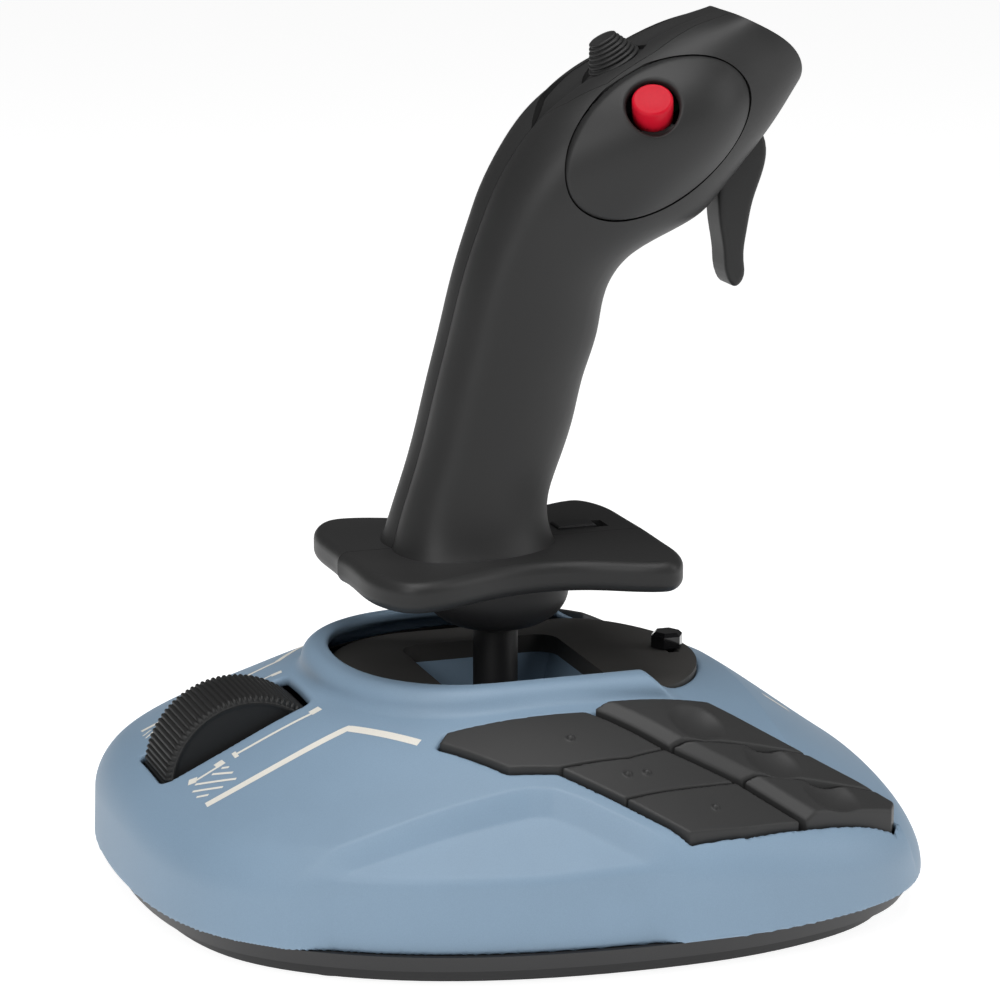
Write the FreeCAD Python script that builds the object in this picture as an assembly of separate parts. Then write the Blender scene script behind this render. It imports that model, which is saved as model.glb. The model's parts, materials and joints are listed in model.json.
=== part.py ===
import FreeCAD, Part
import math
import os
from FreeCAD import Vector

# Desktop flight joystick. +X is the user's right, +Y points away from the user and +Z up.
# The origin lies on the desk, under the axis of the upright stick. Lengths are in mm.

# Base: outline of the cover's bottom edge on the right side, from the rear to the front
BASE_REAR_Y = -107.5
BASE_FRONT_Y = 107.5
BASE_RIGHT = [
    (26.5, -106), (58, -95.5), (77, -77), (92, -49), (100, -17), (102.5, 16),
    (101.5, 38), (96.8, 60), (84, 85), (58, 101), (27, 106.5),
]
BASE_MEAN_R = 108.0
FOOT_PROUD = 1.0
PLATE_STEP_Z = 5.2
LOW_TIER = (9.0, 7.5)
HIGH_TIER = (4.0, 1.0)
PLATE_FLOOR_Z = 3.5
PLATE_POCKET_INSET = 12.0
COVER_Z = 10.0
COVER_WALL = 2.6
COVER_TOP_WALL = 2.8
DRAFT_Z = 70.0
DRAFT = 2.0
SHOULDER_R = 8.0
# Height of the cover's top against the distance from the stick's axis
CONE = [(0, 61), (46, 59), (58, 55.6), (75, 48), (90, 40.7), (120, 26.8), (150, 12.8)]

# Recessed panel on each side of the cover
SCOOP_DEPTH = 4.2
SCOOP_X = 72.0
SCOOP_APEX = [(75, -16), (76.5, -9), (81, -2)]
SCOOP_FRONT = (130, 52)

# Hub: the raised rim round the opening, the deck plate in it and the well under its hole
RIM_HALF_W = 38.0
RIM_SIDE_Y = -12.0
RIM_END_Y = 33.0
RIM_REAR_Y = -45.0
RIM_POWER = 2.2
RIM_STEPS = 14
RIM_W = 7.5
RIM_Z = 64.0
RIM_ROUND = 4.6
RIM_ROUND_STEPS = 5
DECK_NOSE = [(36.5, 37), (24, 49)]
DECK_NOSE_Y = 56.0
DECK_Z = 58.0
DECK_T = 3.0
DECK_GAP = 0.2
HOLE_HALF_W = 24.0
HOLE_Y = (-20.5, 24.5)
HOLE_CORNER_R = 6.0
HOLE_COLLAR_Z = 53.0
TUB_Z = 44.0
TUB_HOLE_R = 17.2
TUB_WALL = 1.6

# Stick
PIVOT_Z = 30.0
SHAFT_R = 5.0
SHAFT_BORE_R = 3.0
SHAFT_Z = (17.0, 118.0)
SLEEVE_R = 7.5
DOME_R = 20.0
DOME_WALL = 1.5
DOME_Z = 36.0
FIT = 0.05
COLLAR_Z = (69.5, 84.0)
COLLAR_R = 20.0
COLLAR_BOWL = [(12.0, 0.6), (16.5, 3.2), (19.3, 7.0), (20.0, 10.5)]

# Gimbal
GIMBAL_PIN_R = 3.0
RING_R = (22.0, 28.0)
RING_HALF_H = 4.5
BLOCK_HALF = 11.0
YOKE_X = (31.0, 38.0)

# Throttle wheel
WHEEL_Y = -72.0
WHEEL_Z = 34.5
WHEEL_R = 24.0
WHEEL_HALF_W = 12.0
WHEEL_RIBS = 56
WHEEL_RIB_H = 0.8
RIB_HALF_SHARE = 0.25
SLOT_Y = (-98.5, -55.8)
SLOT_GAP = 1.2

# Button clusters: plan outlines on the right side of the cover
BUTTON_GAP = 0.35
BUTTON_TRAVEL = 1.2
NEAR_ROW_Z = 1.0
FAR_ROW_Z = 3.0
CAP_SKIRT = 5.0
NEAR_BUTTONS = [
    [(52.6, 7), (67.6, 23), (71, 12), (72.5, -7.5), (69.5, -20), (54.5, -34), (51.5, -31)],
    [(67.6, 23), (78, 39), (80.5, 28.5), (84.8, 6), (72.5, -7.5), (71, 12)],
    [(78, 39), (91, 52), (95, 36), (97.3, 19), (84.8, 6), (80.5, 28.5)],
]
FAR_BUTTONS = [
    [(51.9, 9), (67, 25), (62.5, 66), (47.8, 43)],
    [(67, 25), (77.3, 41), (73, 82), (62.5, 66)],
    [(77.3, 41), (90.3, 54), (81.5, 82), (76.5, 85), (73, 82)],
]
DISHES = [(58.5, 35.5), (69.5, 52.5), (80, 65)]
DISH_R = 9.0
DISH_DEPTH = 1.6
WINDOW = [
    (54.5, -34), (51.5, -31), (52.3, 8), (47.8, 43), (73, 82), (76.5, 85), (81.5, 82),
    (91, 52), (95, 36), (97.3, 19), (72.5, -7.5), (69.5, -20),
]
WINDOW_GAP = 0.5
BOARD_Z = 20.0
BOARD_T = 1.6
STEM_R = 3.0
STEM_Z = 26.3
DOME_PAD_Z = 24.8
PAD_FOOT_R = 5.0
SHEET_T = 0.8

# Hand rest at the grip's foot: plan outline of the right side, from the rear to the front
REST_Z = (84.0, 92.5)
REST_REAR_Y = -44.5
REST_FRONT_Y = 44.0
REST_RIGHT = [
    (17, -44), (31, -42), (38.5, -36), (38.8, -28), (32.5, -12), (29, 4), (31.5, 17),
    (38, 30), (38.8, 37), (32, 42), (17, 43.7),
]
REST_WALL = 3.0
REST_EDGE_R = 3.0

# Half section of the grip: share of the depth against share of the half-width
SECTION = [(0.09, 0.84), (0.30, 1.0), (0.55, 0.98), (0.80, 0.76), (0.95, 0.42)]
# Grip and head: stations from the foot to the nose. Each gives the back point and the front
# point of a section in the plane of symmetry, its half-width, the half-width of the flat back
# facet as a share of that, and how far the facet's edges stand proud of its middle.
STATIONS = [
    ((-33, 88.5), (20, 88.5), 25.0, 0.5, 0.0),
    ((-28.2, 96), (14.5, 96.5), 19.2, 0.5, 0.0),
    ((-26.2, 103), (14, 103.5), 17.6, 0.5, 0.0),
    ((-22.9, 113), (16.6, 112.5), 17.3, 0.5, 0.0),
    ((-19.5, 125), (21, 125), 17.4, 0.5, 0.0),
    ((-16.5, 137), (24, 137), 17.5, 0.5, 0.0),
    ((-13.3, 149), (28, 149), 17.7, 0.5, 0.0),
    ((-10.5, 160), (30.3, 160), 18.0, 0.5, 0.0),
    ((-7.5, 170), (36.7, 169), 18.8, 0.5, 0.0),
    ((-4.2, 179), (47, 174.5), 20.2, 0.5, 0.0),
    ((-0.3, 188.2), (56.3, 179), 22.0, 0.5, 0.0),
    ((6.6, 199.6), (62.5, 185), 23.5, 0.5, 0.1),
    ((14.5, 207.9), (68, 191.5), 24.0, 0.58, 0.2),
    ((27.5, 216.8), (74.5, 199.3), 23.5, 0.62, 0.3),
    ((42.5, 225.0), (80, 206.5), 21.0, 0.62, 0.4),
    ((55, 230.6), (84.6, 213), 17.5, 0.54, 0.4),
    ((68, 235.8), (92, 224), 15.5, 0.42, 0.3),
]
GRIP_WALL = 2.6
SEAM = 0.1
# Front face of the nose, from the tip down to the lip
NOSE_FACE = [(60.5, 235.3), (69.0, 230.6), (78.5, 224.4), (83.3, 217.4), (83.9, 212.8)]
LIP = [(83.9, 212.8), (73.2, 197.6)]
LIP_T = 2.4

# Top panel of the head
PANEL_POINT = (10.0, 204.6)
PANEL_END = (66.0, 234.6)
PANEL_T = 2.5
PANEL_HALF_W = [(0.0, 0.0), (9.0, 9.5), (20.0, 13.6), (36.0, 12.6), (50.0, 9.0), (68.0, 5.6)]
PANEL_GAP = 0.2
PANEL_ROOM = 12.0

# Side modules of the head: an oval about a centre, with a long axis that rises forward
MODULE_C = (38.2, 202.6)
MODULE_A = 28.5
MODULE_B = 17.8
MODULE_RISE_DEG = 31.0
MODULE_X = (15.0, 30.0)
MODULE_PROUD = 4.0
MODULE_GAP = 0.2
OVAL_POINTS = 12

# Side buttons: centre of the cap's top and the direction they stand out
SIDE_BUTTON_TOP = (27.0, 34.0, 214.1)
SIDE_BUTTON_AXIS = (0.62, -0.25, 0.74)
SIDE_BUTTON_R = 5.4
SIDE_BUTTON_LEN = 11.0
SIDE_BUTTON_GAP = 0.3
SIDE_BUTTON_TRAVEL = 1.8
SIDE_RECESS_R = 7.6
SIDE_RECESS_DEPTH = 5.0
SIDE_BORE_L = 30.0
WELL_L = 4.0

# Hat switch, on the top panel
HAT_Y = 33.8
HAT_Z = 219.9
HAT_TILT_DEG = 29.0
HAT_R = (7.4, 4.0)
HAT_H = 7.6
HAT_RINGS = 5
HAT_BRIM = 1.2
HAT_RING_START = 0.6
HAT_RING_TAPER = 0.5
HAT_CLEAR = 0.6
DIMPLE_R = 10.5
DIMPLE_DEPTH = 1.6

# Trigger: pivot and outline in the plane of symmetry
TRIGGER_PIVOT = (67.0, 203.0)
TRIGGER = [
    (75.6, 196), (74.7, 190), (71.9, 182), (70.3, 174), (69.5, 166), (69.2, 160.5),
    (67, 158.8), (64.9, 161), (63.7, 168), (62.4, 176), (61.8, 183.5), (61.6, 192),
    (62.6, 202), (67, 207), (72.4, 203.5),
]
TRIGGER_HALF_W = 5.5
TRIGGER_SLOT = [(56.5, 178), (70, 182), (78.2, 194), (78.8, 205), (66, 211), (57.5, 200)]
TRIGGER_SLOT_GAP = 0.6
TRIGGER_SWITCH = ((-3.0, 3.0), (50.0, 57.0), (195.0, 204.0))
TRIGGER_PIN_R = 1.5
TRIGGER_PIN_L = 12.0
TRIGGER_BOSS_X = 10.5
TRIGGER_COIL_R = 2.6
TRIGGER_WIRE_R = 0.35
TRIGGER_COIL_L = 3.6
TRIGGER_TURNS = 4
WIRE_SIDES = 8
LIP_HALF_W = 13.0
SIDE_BUTTON_ROUND = 0.9
SIDE_ROOM = 1.5
SIDE_SWITCH_REACH = 8.0
SIDE_SWITCH_L = 4.0
SIDE_SWITCH_GAP = 0.2

# Hat details, measured down from the panel
HAT_STEM_R = 2.2
HAT_STEM_L = 10.0
HAT_PIVOT = 6.0
HAT_RING_R = (2.7, 4.6)
HAT_HOLE_R = 5.0
HAT_RING_HALF_H = 1.0
HAT_SWITCH_H = 4.0
HAT_SWITCH_HALF = 6.0
HAT_ROOM = 1.6
GRIP_BOARD = (9.0, 15.0)

# Fasteners
SCREW_R = 1.4
SCREW_HEAD_R = 2.7
SCREW_HEAD_H = 1.6
SCREW_SINK = 1.6
BOSS_R = 3.4
BASE_SCREWS = [(40, -78), (80, -40), (40, 88)]
BASE_SCREW_BITE = 7.0
GRIP_SCREWS = [(-14.5, 112, 17.3), (5, 136, 17.5), (10, 160, 18.0), (9, 181, 20.4)]
GRIP_SCREW_BITE = 9.0
FEET = [(62, -64), (70, 60)]
FOOT_R = 9.0
FOOT_SINK = 1.0
FOOT_CHAMFER = 0.4

# Small parts of the base
CORNERS = [(1, -1), (1, 1), (-1, 1), (-1, -1)]
LEDGE = 2.5
LEDGE_T = 1.5
SLOT_CORNER_R = 3.0
GLAND_R = 4.0
GLAND_Z = 17.0
GLAND_REACH = 10.0
GLAND_BORE_R = 2.0
GLAND_FLANGE_R = 6.0
GLAND_FLANGE_T = 2.0
GLAND_BACK = 3.0
GLAND_SUNK = 0.6
TUB_FLOOR_HALF = 21.0
KNOB_Y = 50.0
KNOB_R = 4.6
KNOB_SIDES = 6
KNOB_H = 4.6
KNOB_CLEAR = 0.3
KNOB_CHAMFER = 1.0
KNOB_STEM_W = 1.5
KNOB_SLOT = 6.0
SWITCH_Z = (49.0, 53.3)
SWITCH_HALF = (7.0, 3.0)
BRACKET_X = (14.0, 18.0)
BRACKET_HALF_W = 6.0
BRACKET_T = 3.0
AXLE_END = 3.0
WHEEL_EDGE_R = 2.5
WHEEL_DISH_R = (7.0, 19.0)
WHEEL_DISH = 1.4
SENSOR_R = 8.0
SENSOR_T = 6.0
BOARD_X = (49, 94)
BOARD_Y = (-28, 76)
BOARD_POSTS = [(54, -20), (88, 8), (54, 62)]
BOARD_INSET = 7.0
MAIN_X = (-34, 34)
MAIN_Y = (50, 90)
MAIN_Z = 12.0
MAIN_CHIPS_X = [(-20, -12), (12, 20)]
MAIN_CHIP_Y = (66, 74)
MAIN_LEGS_X = (-26, 26)
MAIN_LEGS_Y = (56, 84)
BALLAST_X = (-56, 56)
BALLAST_Y = (-56, -40)
BALLAST_T = 5.0

# Small parts of the gimbal and the stick
YOKE_HALF_Y = 24.0
YOKE_WINDOW = 20.0
YOKE_FOOT_T = 3.0
YOKE_EAR_HALF_W = 6.5
BLOCK_LOW = 8.0
BLOCK_HIGH = 6.0
STOP_R = 8.0
STOP_T = 3.0
MAGNET_T = 2.5
MAGNET_PLUG = 5.0
SENSOR_BOARD = 9.0
SENSOR_BOARD_Z = 6.5
CHIP_HALF = 2.5
CHIP_T = 1.0
LEG_R = 2.0
LEG_INSET = 3.0
SLEEVE_TOP_Z = 74.0
SPRING_R = 9.2
SPRING_WIRE_R = 0.8
SPRING_TURNS = 4
SPRING_POCKET_R = 10.6
COLLAR_FLOOR = 3.0
TWIST_R = 7.5
TWIST_WIRE_R = 0.6
TWIST_H = 6.0
TWIST_TURNS = 4
CORE_HALF = 8.5
CORE_Z = (92.0, 114.0)
CORE_EDGE_R = 4.0
LOCK_X = (-12.0, -5.0)
LOCK_Y = (20.0, 31.0)
LOCK_T = 2.4
LOCK_PROUD = 0.8
LOCK_TRAVEL = 3.5

FAR = 400.0
nodes = {}


def box(x, y, z):
    """A box between two limits on each axis."""
    return Part.makeBox(x[1] - x[0], y[1] - y[0], z[1] - z[0], Vector(x[0], y[0], z[0]))


def rod(r, start, end):
    """A round bar between two points."""
    a = Vector(*start)
    d = Vector(*end) - a
    return Part.makeCylinder(r, d.Length, a, d)


def tube(r_out, r_in, start, end):
    return rod(r_out, start, end).cut(rod(r_in, start, end))


def mirror(shape):
    """The same piece on the left side."""
    return shape.mirror(Vector(0, 0, 0), Vector(1, 0, 0))


def fuse(shapes):
    return shapes[0].multiFuse(shapes[1:]) if len(shapes) > 1 else shapes[0]


def both_sides(right, rear_y, front_y):
    """A closed outline from its right half, listed from the rear to the front."""
    left = [(-x, y) for x, y in reversed(right)]
    return [(0, rear_y)] + right + [(0, front_y)] + left


def smooth_wire(points):
    """A closed smooth curve through points."""
    curve = Part.BSplineCurve()
    curve.interpolate(Points=points, PeriodicFlag=True)
    return Part.Wire(curve.toShape())


def flat_wire(points, z):
    return smooth_wire([Vector(x, y, z) for x, y in points])


def corner_wire(points, z):
    """A closed wire with straight sides."""
    ring = [Vector(x, y, z) for x, y in points]
    return Part.makePolygon(ring + ring[:1])


def prism(wire, height):
    return Part.Face(wire).extrude(Vector(0, 0, height))


def side_prism(wire_points, half_w, smooth=False):
    """A solid of constant side outline, across the plane of symmetry."""
    pts = [Vector(-half_w, y, z) for y, z in wire_points]
    wire = smooth_wire(pts) if smooth else Part.makePolygon(pts + pts[:1])
    return Part.Face(wire).extrude(Vector(2 * half_w, 0, 0))


def grown(wire, distance):
    return wire.makeOffset2D(distance, 0, False, False, True)


def turned(shape, axis, pos):
    """A shape drawn up +Z from the origin, set at a place along an axis."""
    turn = FreeCAD.Rotation(Vector(0, 0, 1), Vector(*axis))
    return shape.transformed(FreeCAD.Placement(Vector(*pos), turn).toMatrix())


def coil(r, wire_r, z0, z1, turns):
    """A coil spring of flat-sided wire about the Z axis."""
    helix = Part.makeHelix((z1 - z0) / turns, z1 - z0, r)
    ring = []
    for i in range(WIRE_SIDES):
        t = 2 * math.pi * (i + 0.5) / WIRE_SIDES
        ring.append((r + wire_r * math.cos(t), 0, wire_r * math.sin(t)))
    spring = helix.makePipeShell([Part.makePolygon(ring + ring[:1])], True, True)
    spring.translate(Vector(0, 0, z0))
    return spring


# ---------------------------------------------------------------- base

def base_wall(inset, z0, z1, inset_top=None):
    """The inside of the base outline, drawn in evenly, between two heights."""
    top = inset if inset_top is None else inset_top
    outline = both_sides(BASE_RIGHT, BASE_REAR_Y, BASE_FRONT_Y)
    rings = []
    for d, z in ((inset, z0), (top, z1)):
        k = 1 - d / BASE_MEAN_R
        rings.append(flat_wire([(k * x, k * y) for x, y in outline], z))
    return Part.makeLoft(rings, True, True)


def under_cone(drop):
    """Everything under the cover's top surface, lowered by drop."""
    curve = Part.BSplineCurve()
    curve.interpolate(Points=[Vector(r, 0, z - drop) for r, z in CONE])
    end = curve.EndPoint
    outer = Part.makeLine(end, Vector(end.x, 0, -FAR))
    floor = Part.makeLine(Vector(end.x, 0, -FAR), Vector(0, 0, -FAR))
    axis = Part.makeLine(Vector(0, 0, -FAR), curve.StartPoint)
    profile = Part.Wire([curve.toShape(), outer, floor, axis])
    return Part.Face(profile).revolve(Vector(0, 0, 0), Vector(0, 0, 1), 360)


def cover_body(inset, drop):
    """The cover's outer form, drawn in by inset and lowered by drop."""
    wall = base_wall(inset, COVER_Z, DRAFT_Z, inset + DRAFT)
    return wall.common(under_cone(drop))


def scoop_region(grow):
    """Plan region of the right side's recessed panel, as a tall prism."""
    bend = [Vector(x - grow, y, 0) for x, y in SCOOP_APEX]
    curve = Part.BSplineCurve()
    curve.interpolate(Points=bend)
    start = Vector(SCOOP_X - grow, -FAR / 2, 0)
    end = Vector(SCOOP_FRONT[0] - grow, SCOOP_FRONT[1] + grow, 0)
    corner = Vector(FAR / 2, -FAR / 2, 0)
    above = Vector(FAR / 2, end.y, 0)
    sides = Part.makePolygon([bend[-1], end, above, corner, start, bend[0]]).Edges
    face = Part.Face(Part.Wire(Part.sortEdges([curve.toShape()] + sides)[0]))
    return face.extrude(Vector(0, 0, FAR / 2))


def horseshoe(grow):
    """The rim's outline, drawn out by grow: straight sides, a round rear and a straight end."""
    half_w = RIM_HALF_W + grow
    depth = RIM_SIDE_Y - RIM_REAR_Y + grow
    rear = []
    for i in range(RIM_STEPS + 1):
        t = math.pi * i / RIM_STEPS
        across = math.copysign(abs(math.cos(t)) ** (2 / RIM_POWER), -math.cos(t))
        back = math.sin(t) ** (2 / RIM_POWER) if 0 < i < RIM_STEPS else 0.0
        rear.append(Vector(half_w * across, RIM_SIDE_Y - depth * back, 0))
    curve = Part.BSplineCurve()
    curve.interpolate(Points=rear, InitialTangent=Vector(0, -1, 0), FinalTangent=Vector(0, 1, 0))
    ends = [rear[-1], Vector(half_w, RIM_END_Y, 0), Vector(-half_w, RIM_END_Y, 0), rear[0]]
    return Part.Wire([curve.toShape()] + Part.makePolygon(ends).Edges)


def opening_outline():
    """The cover's opening: the horseshoe with the deck's rounded nose in front."""
    shoe = horseshoe(0).Edges
    nose = [(RIM_HALF_W, RIM_END_Y)] + DECK_NOSE + [(0, DECK_NOSE_Y)]
    nose += [(-x, y) for x, y in reversed(DECK_NOSE)] + [(-RIM_HALF_W, RIM_END_Y)]
    curve = Part.BSplineCurve()
    curve.interpolate(Points=[Vector(x, y, 0) for x, y in nose])
    kept = [e for e in shoe if abs(e.CenterOfMass.y - RIM_END_Y) > 1]
    return Part.Wire(Part.sortEdges(kept + [curve.toShape()])[0])


def hub_rim():
    """The raised rounded rim, open to the front, where its ends slope down."""
    low = DECK_Z - DECK_T
    stations = [(RIM_W, low)]
    for i in range(RIM_ROUND_STEPS + 1):
        t = math.pi / 2 * i / RIM_ROUND_STEPS
        grow = RIM_W - RIM_ROUND * (1 - math.cos(t))
        stations.append((grow, RIM_Z - RIM_ROUND * (1 - math.sin(t))))
    rings = []
    for grow, z in stations:
        ring = horseshoe(grow)
        ring.translate(Vector(0, 0, z))
        rings.append(ring)
    inside = prism(horseshoe(0), FAR)
    slope = box((-FAR, FAR), (0, FAR), (0, FAR))
    slope.rotate(Vector(0, 0, 0), Vector(1, 0, 0), -45)
    slope.translate(Vector(0, RIM_END_Y - RIM_Z + CONE[1][1], RIM_Z))
    return Part.makeLoft(rings, True, True).cut(inside).cut(slope)


def grown_opening(distance):
    """The opening's outline scaled about the hub, drawn out by distance at its sides."""
    k = 1 + distance / RIM_HALF_W
    scale = FreeCAD.Matrix()
    scale.scale(k, k, 1)
    return opening_outline().transformGeometry(scale).Wires[0]


def lifted_prism(wire, z0, z1):
    solid = prism(wire, z1 - z0)
    solid.translate(Vector(0, 0, z0))
    return solid


def mirrored_places(places):
    return [(side * x, y) for x, y in places for side in (-1, 1)]


def make_cover():
    """The blue shell: wall, cone-like top, side panels, hub rim, windows and screw bosses."""
    scoops = fuse([scoop_region(0), mirror(scoop_region(0))])
    inner_scoops = fuse([scoop_region(COVER_WALL), mirror(scoop_region(COVER_WALL))])
    outer = cover_body(0, 0)
    high = [e for e in outer.Edges if e.BoundBox.ZMin > COVER_Z + COVER_WALL]
    top_edge = [e for e in high if e.BoundBox.YLength > BASE_MEAN_R]
    outer = outer.makeFillet(SHOULDER_R, top_edge)
    outer = outer.cut(scoops.cut(cover_body(COVER_WALL, SCOOP_DEPTH)))
    floor_z = COVER_Z - 1
    cavity = base_wall(COVER_WALL, floor_z, DRAFT_Z, COVER_WALL + DRAFT)
    cavity = cavity.common(under_cone(COVER_TOP_WALL))
    sunk = base_wall(2 * COVER_WALL, floor_z, DRAFT_Z, 2 * COVER_WALL + DRAFT)
    sunk = sunk.common(under_cone(SCOOP_DEPTH + COVER_TOP_WALL))
    cavity = cavity.cut(inner_scoops.cut(sunk))
    places = mirrored_places(BASE_SCREWS)
    bosses = [tube(BOSS_R, SCREW_R, (x, y, COVER_Z), (x, y, DRAFT_Z)) for x, y in places]
    bosses = fuse(bosses).common(cavity)
    ledge_z = DECK_Z - DECK_T
    ledge = lifted_prism(grown_opening(LEDGE), ledge_z - LEDGE_T, DECK_Z)
    ledge = ledge.common(under_cone(COVER_TOP_WALL / 2))
    cover = outer.cut(cavity).fuse([hub_rim(), ledge, bosses])
    slot = box((-WHEEL_HALF_W - SLOT_GAP, WHEEL_HALF_W + SLOT_GAP), SLOT_Y, (WHEEL_Z, FAR))
    slot = slot.makeFillet(SLOT_CORNER_R, [e for e in slot.Edges if e.BoundBox.ZLength > WHEEL_R])
    window = prism(grown(corner_wire(WINDOW, 0), WINDOW_GAP), FAR)
    gland_y = (BASE_FRONT_Y - GLAND_REACH, BASE_FRONT_Y + GLAND_REACH)
    gland = rod(GLAND_R, (0, gland_y[0], GLAND_Z), (0, gland_y[1], GLAND_Z))
    deck_well = lifted_prism(opening_outline(), ledge_z, FAR)
    through = prism(grown_opening(-LEDGE), FAR)
    return cover.cut(fuse([deck_well, through, window, mirror(window), slot, gland]))


def make_plate():
    """The dark stepped tray under the cover, with posts for the screws and the button boards."""
    tiers = base_wall(LOW_TIER[0], FOOT_PROUD, PLATE_STEP_Z, LOW_TIER[1])
    tiers = tiers.fuse(base_wall(HIGH_TIER[0], PLATE_STEP_Z, COVER_Z, HIGH_TIER[1]))
    plate = tiers.cut(base_wall(PLATE_POCKET_INSET, PLATE_FLOOR_Z, COVER_Z + 1))
    posts = [rod(BOSS_R, (x, y, PLATE_FLOOR_Z), (x, y, COVER_Z)) for x, y in mirrored_places(BASE_SCREWS)]
    board_places = mirrored_places(BOARD_POSTS)
    posts += [rod(BOSS_R, (x, y, PLATE_FLOOR_Z), (x, y, BOARD_Z)) for x, y in board_places]
    posts += [rod(SCREW_R - FIT, (x, y, BOARD_Z), (x, y, BOARD_Z + BOARD_T)) for x, y in board_places]
    holes = [rod(SCREW_R, (x, y, 0), (x, y, COVER_Z)) for x, y in mirrored_places(BASE_SCREWS)]
    sink = FOOT_PROUD + SCREW_HEAD_H
    holes += [rod(SCREW_HEAD_R, (x, y, 0), (x, y, sink)) for x, y in mirrored_places(BASE_SCREWS)]
    holes += [rod(FOOT_R, (x, y, 0), (x, y, FOOT_PROUD + FOOT_SINK)) for x, y in mirrored_places(FEET)]
    return plate.fuse(posts).cut(fuse(holes))


def make_feet():
    feet = []
    for x, y in mirrored_places(FEET):
        foot = rod(FOOT_R - FIT, (x, y, 0), (x, y, FOOT_PROUD + FOOT_SINK))
        feet.append(foot.makeChamfer(FOOT_CHAMFER, [e for e in foot.Edges if e.BoundBox.ZMax < FIT]))
    return Part.makeCompound(feet)


def screw(head, tip):
    """A screw with a flat round head, from the head's outer face to the tip."""
    a = Vector(*head)
    d = (Vector(*tip) - a).normalize()
    under = a + d * SCREW_HEAD_H
    neck = Part.makeCylinder(SCREW_R - FIT, (Vector(*tip) - under).Length, under, d)
    top = Part.makeCylinder(SCREW_HEAD_R - FIT, SCREW_HEAD_H, a, d)
    recess = Part.makeCylinder(SCREW_R / 2, SCREW_HEAD_H / 2, a, d)
    return top.fuse(neck).cut(recess)


def make_base_screws():
    tip_z = COVER_Z + BASE_SCREW_BITE
    places = mirrored_places(BASE_SCREWS)
    return Part.makeCompound([screw((x, y, FOOT_PROUD), (x, y, tip_z)) for x, y in places])


def hole_outline(grow):
    """The deck's square hole with round corners, as a tall prism."""
    w = HOLE_HALF_W + grow
    well = box((-w, w), (HOLE_Y[0] - grow, HOLE_Y[1] + grow), (0, FAR))
    return well.makeFillet(HOLE_CORNER_R, [e for e in well.Edges if e.BoundBox.ZLength > FAR / 2])


def make_deck():
    """The dark plate round the stick, with a collar round its hole."""
    deck = lifted_prism(grown_opening(-DECK_GAP), DECK_Z - DECK_T, DECK_Z)
    band = box((-FAR, FAR), (-FAR, FAR), (HOLE_COLLAR_Z, DECK_Z - DECK_T))
    collar = hole_outline(TUB_WALL).common(band)
    knob_y = (KNOB_Y - KNOB_STEM_W - FIT, KNOB_Y + KNOB_STEM_W + FIT)
    knob_slot = box((-KNOB_SLOT, KNOB_SLOT), knob_y, (0, FAR))
    return deck.fuse(collar).cut(fuse([hole_outline(0), knob_slot]))


def make_tub():
    """The well under the deck's hole: walls that slope in to a floor with a round hole."""
    y_mid = (HOLE_Y[0] + HOLE_Y[1]) / 2
    half_y = (HOLE_Y[1] - HOLE_Y[0]) / 2
    solids = []
    for grow, drop in ((TUB_WALL, TUB_WALL), (0.0, 0.0)):
        top = [(sx * (HOLE_HALF_W + grow), y_mid + sy * (half_y + grow)) for sx, sy in CORNERS]
        low = [(sx * (TUB_FLOOR_HALF + grow), sy * (TUB_FLOOR_HALF + grow)) for sx, sy in CORNERS]
        wires = [corner_wire(low, TUB_Z - drop), corner_wire(top, HOLE_COLLAR_Z)]
        solids.append(Part.makeLoft(wires, True, True))
    return solids[0].cut(solids[1]).cut(rod(TUB_HOLE_R, (0, 0, 0), (0, 0, HOLE_COLLAR_Z)))


def make_knob():
    """The small selector: a hexagonal cap on a flat stem that slides in the deck's slot."""
    ring = []
    for i in range(KNOB_SIDES):
        t = 2 * math.pi * (i + 0.5) / KNOB_SIDES
        ring.append((KNOB_R * math.cos(t), KNOB_Y + KNOB_R * math.sin(t)))
    cap = lifted_prism(corner_wire(ring, 0), DECK_Z + KNOB_CLEAR, DECK_Z + KNOB_H)
    cap = cap.makeChamfer(KNOB_CHAMFER, [e for e in cap.Edges if e.BoundBox.ZMin > DECK_Z + KNOB_H - FIT])
    stem = box((-KNOB_STEM_W, KNOB_STEM_W), (KNOB_Y - KNOB_STEM_W, KNOB_Y + KNOB_STEM_W),
               (SWITCH_Z[1] + KNOB_CLEAR, DECK_Z + KNOB_CLEAR))
    return cap.fuse(stem)


def make_selector_switch():
    y = (KNOB_Y - SWITCH_HALF[1], KNOB_Y + SWITCH_HALF[1])
    return box((-SWITCH_HALF[0], SWITCH_HALF[0]), y, SWITCH_Z)


# ---------------------------------------------------------------- throttle

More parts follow.
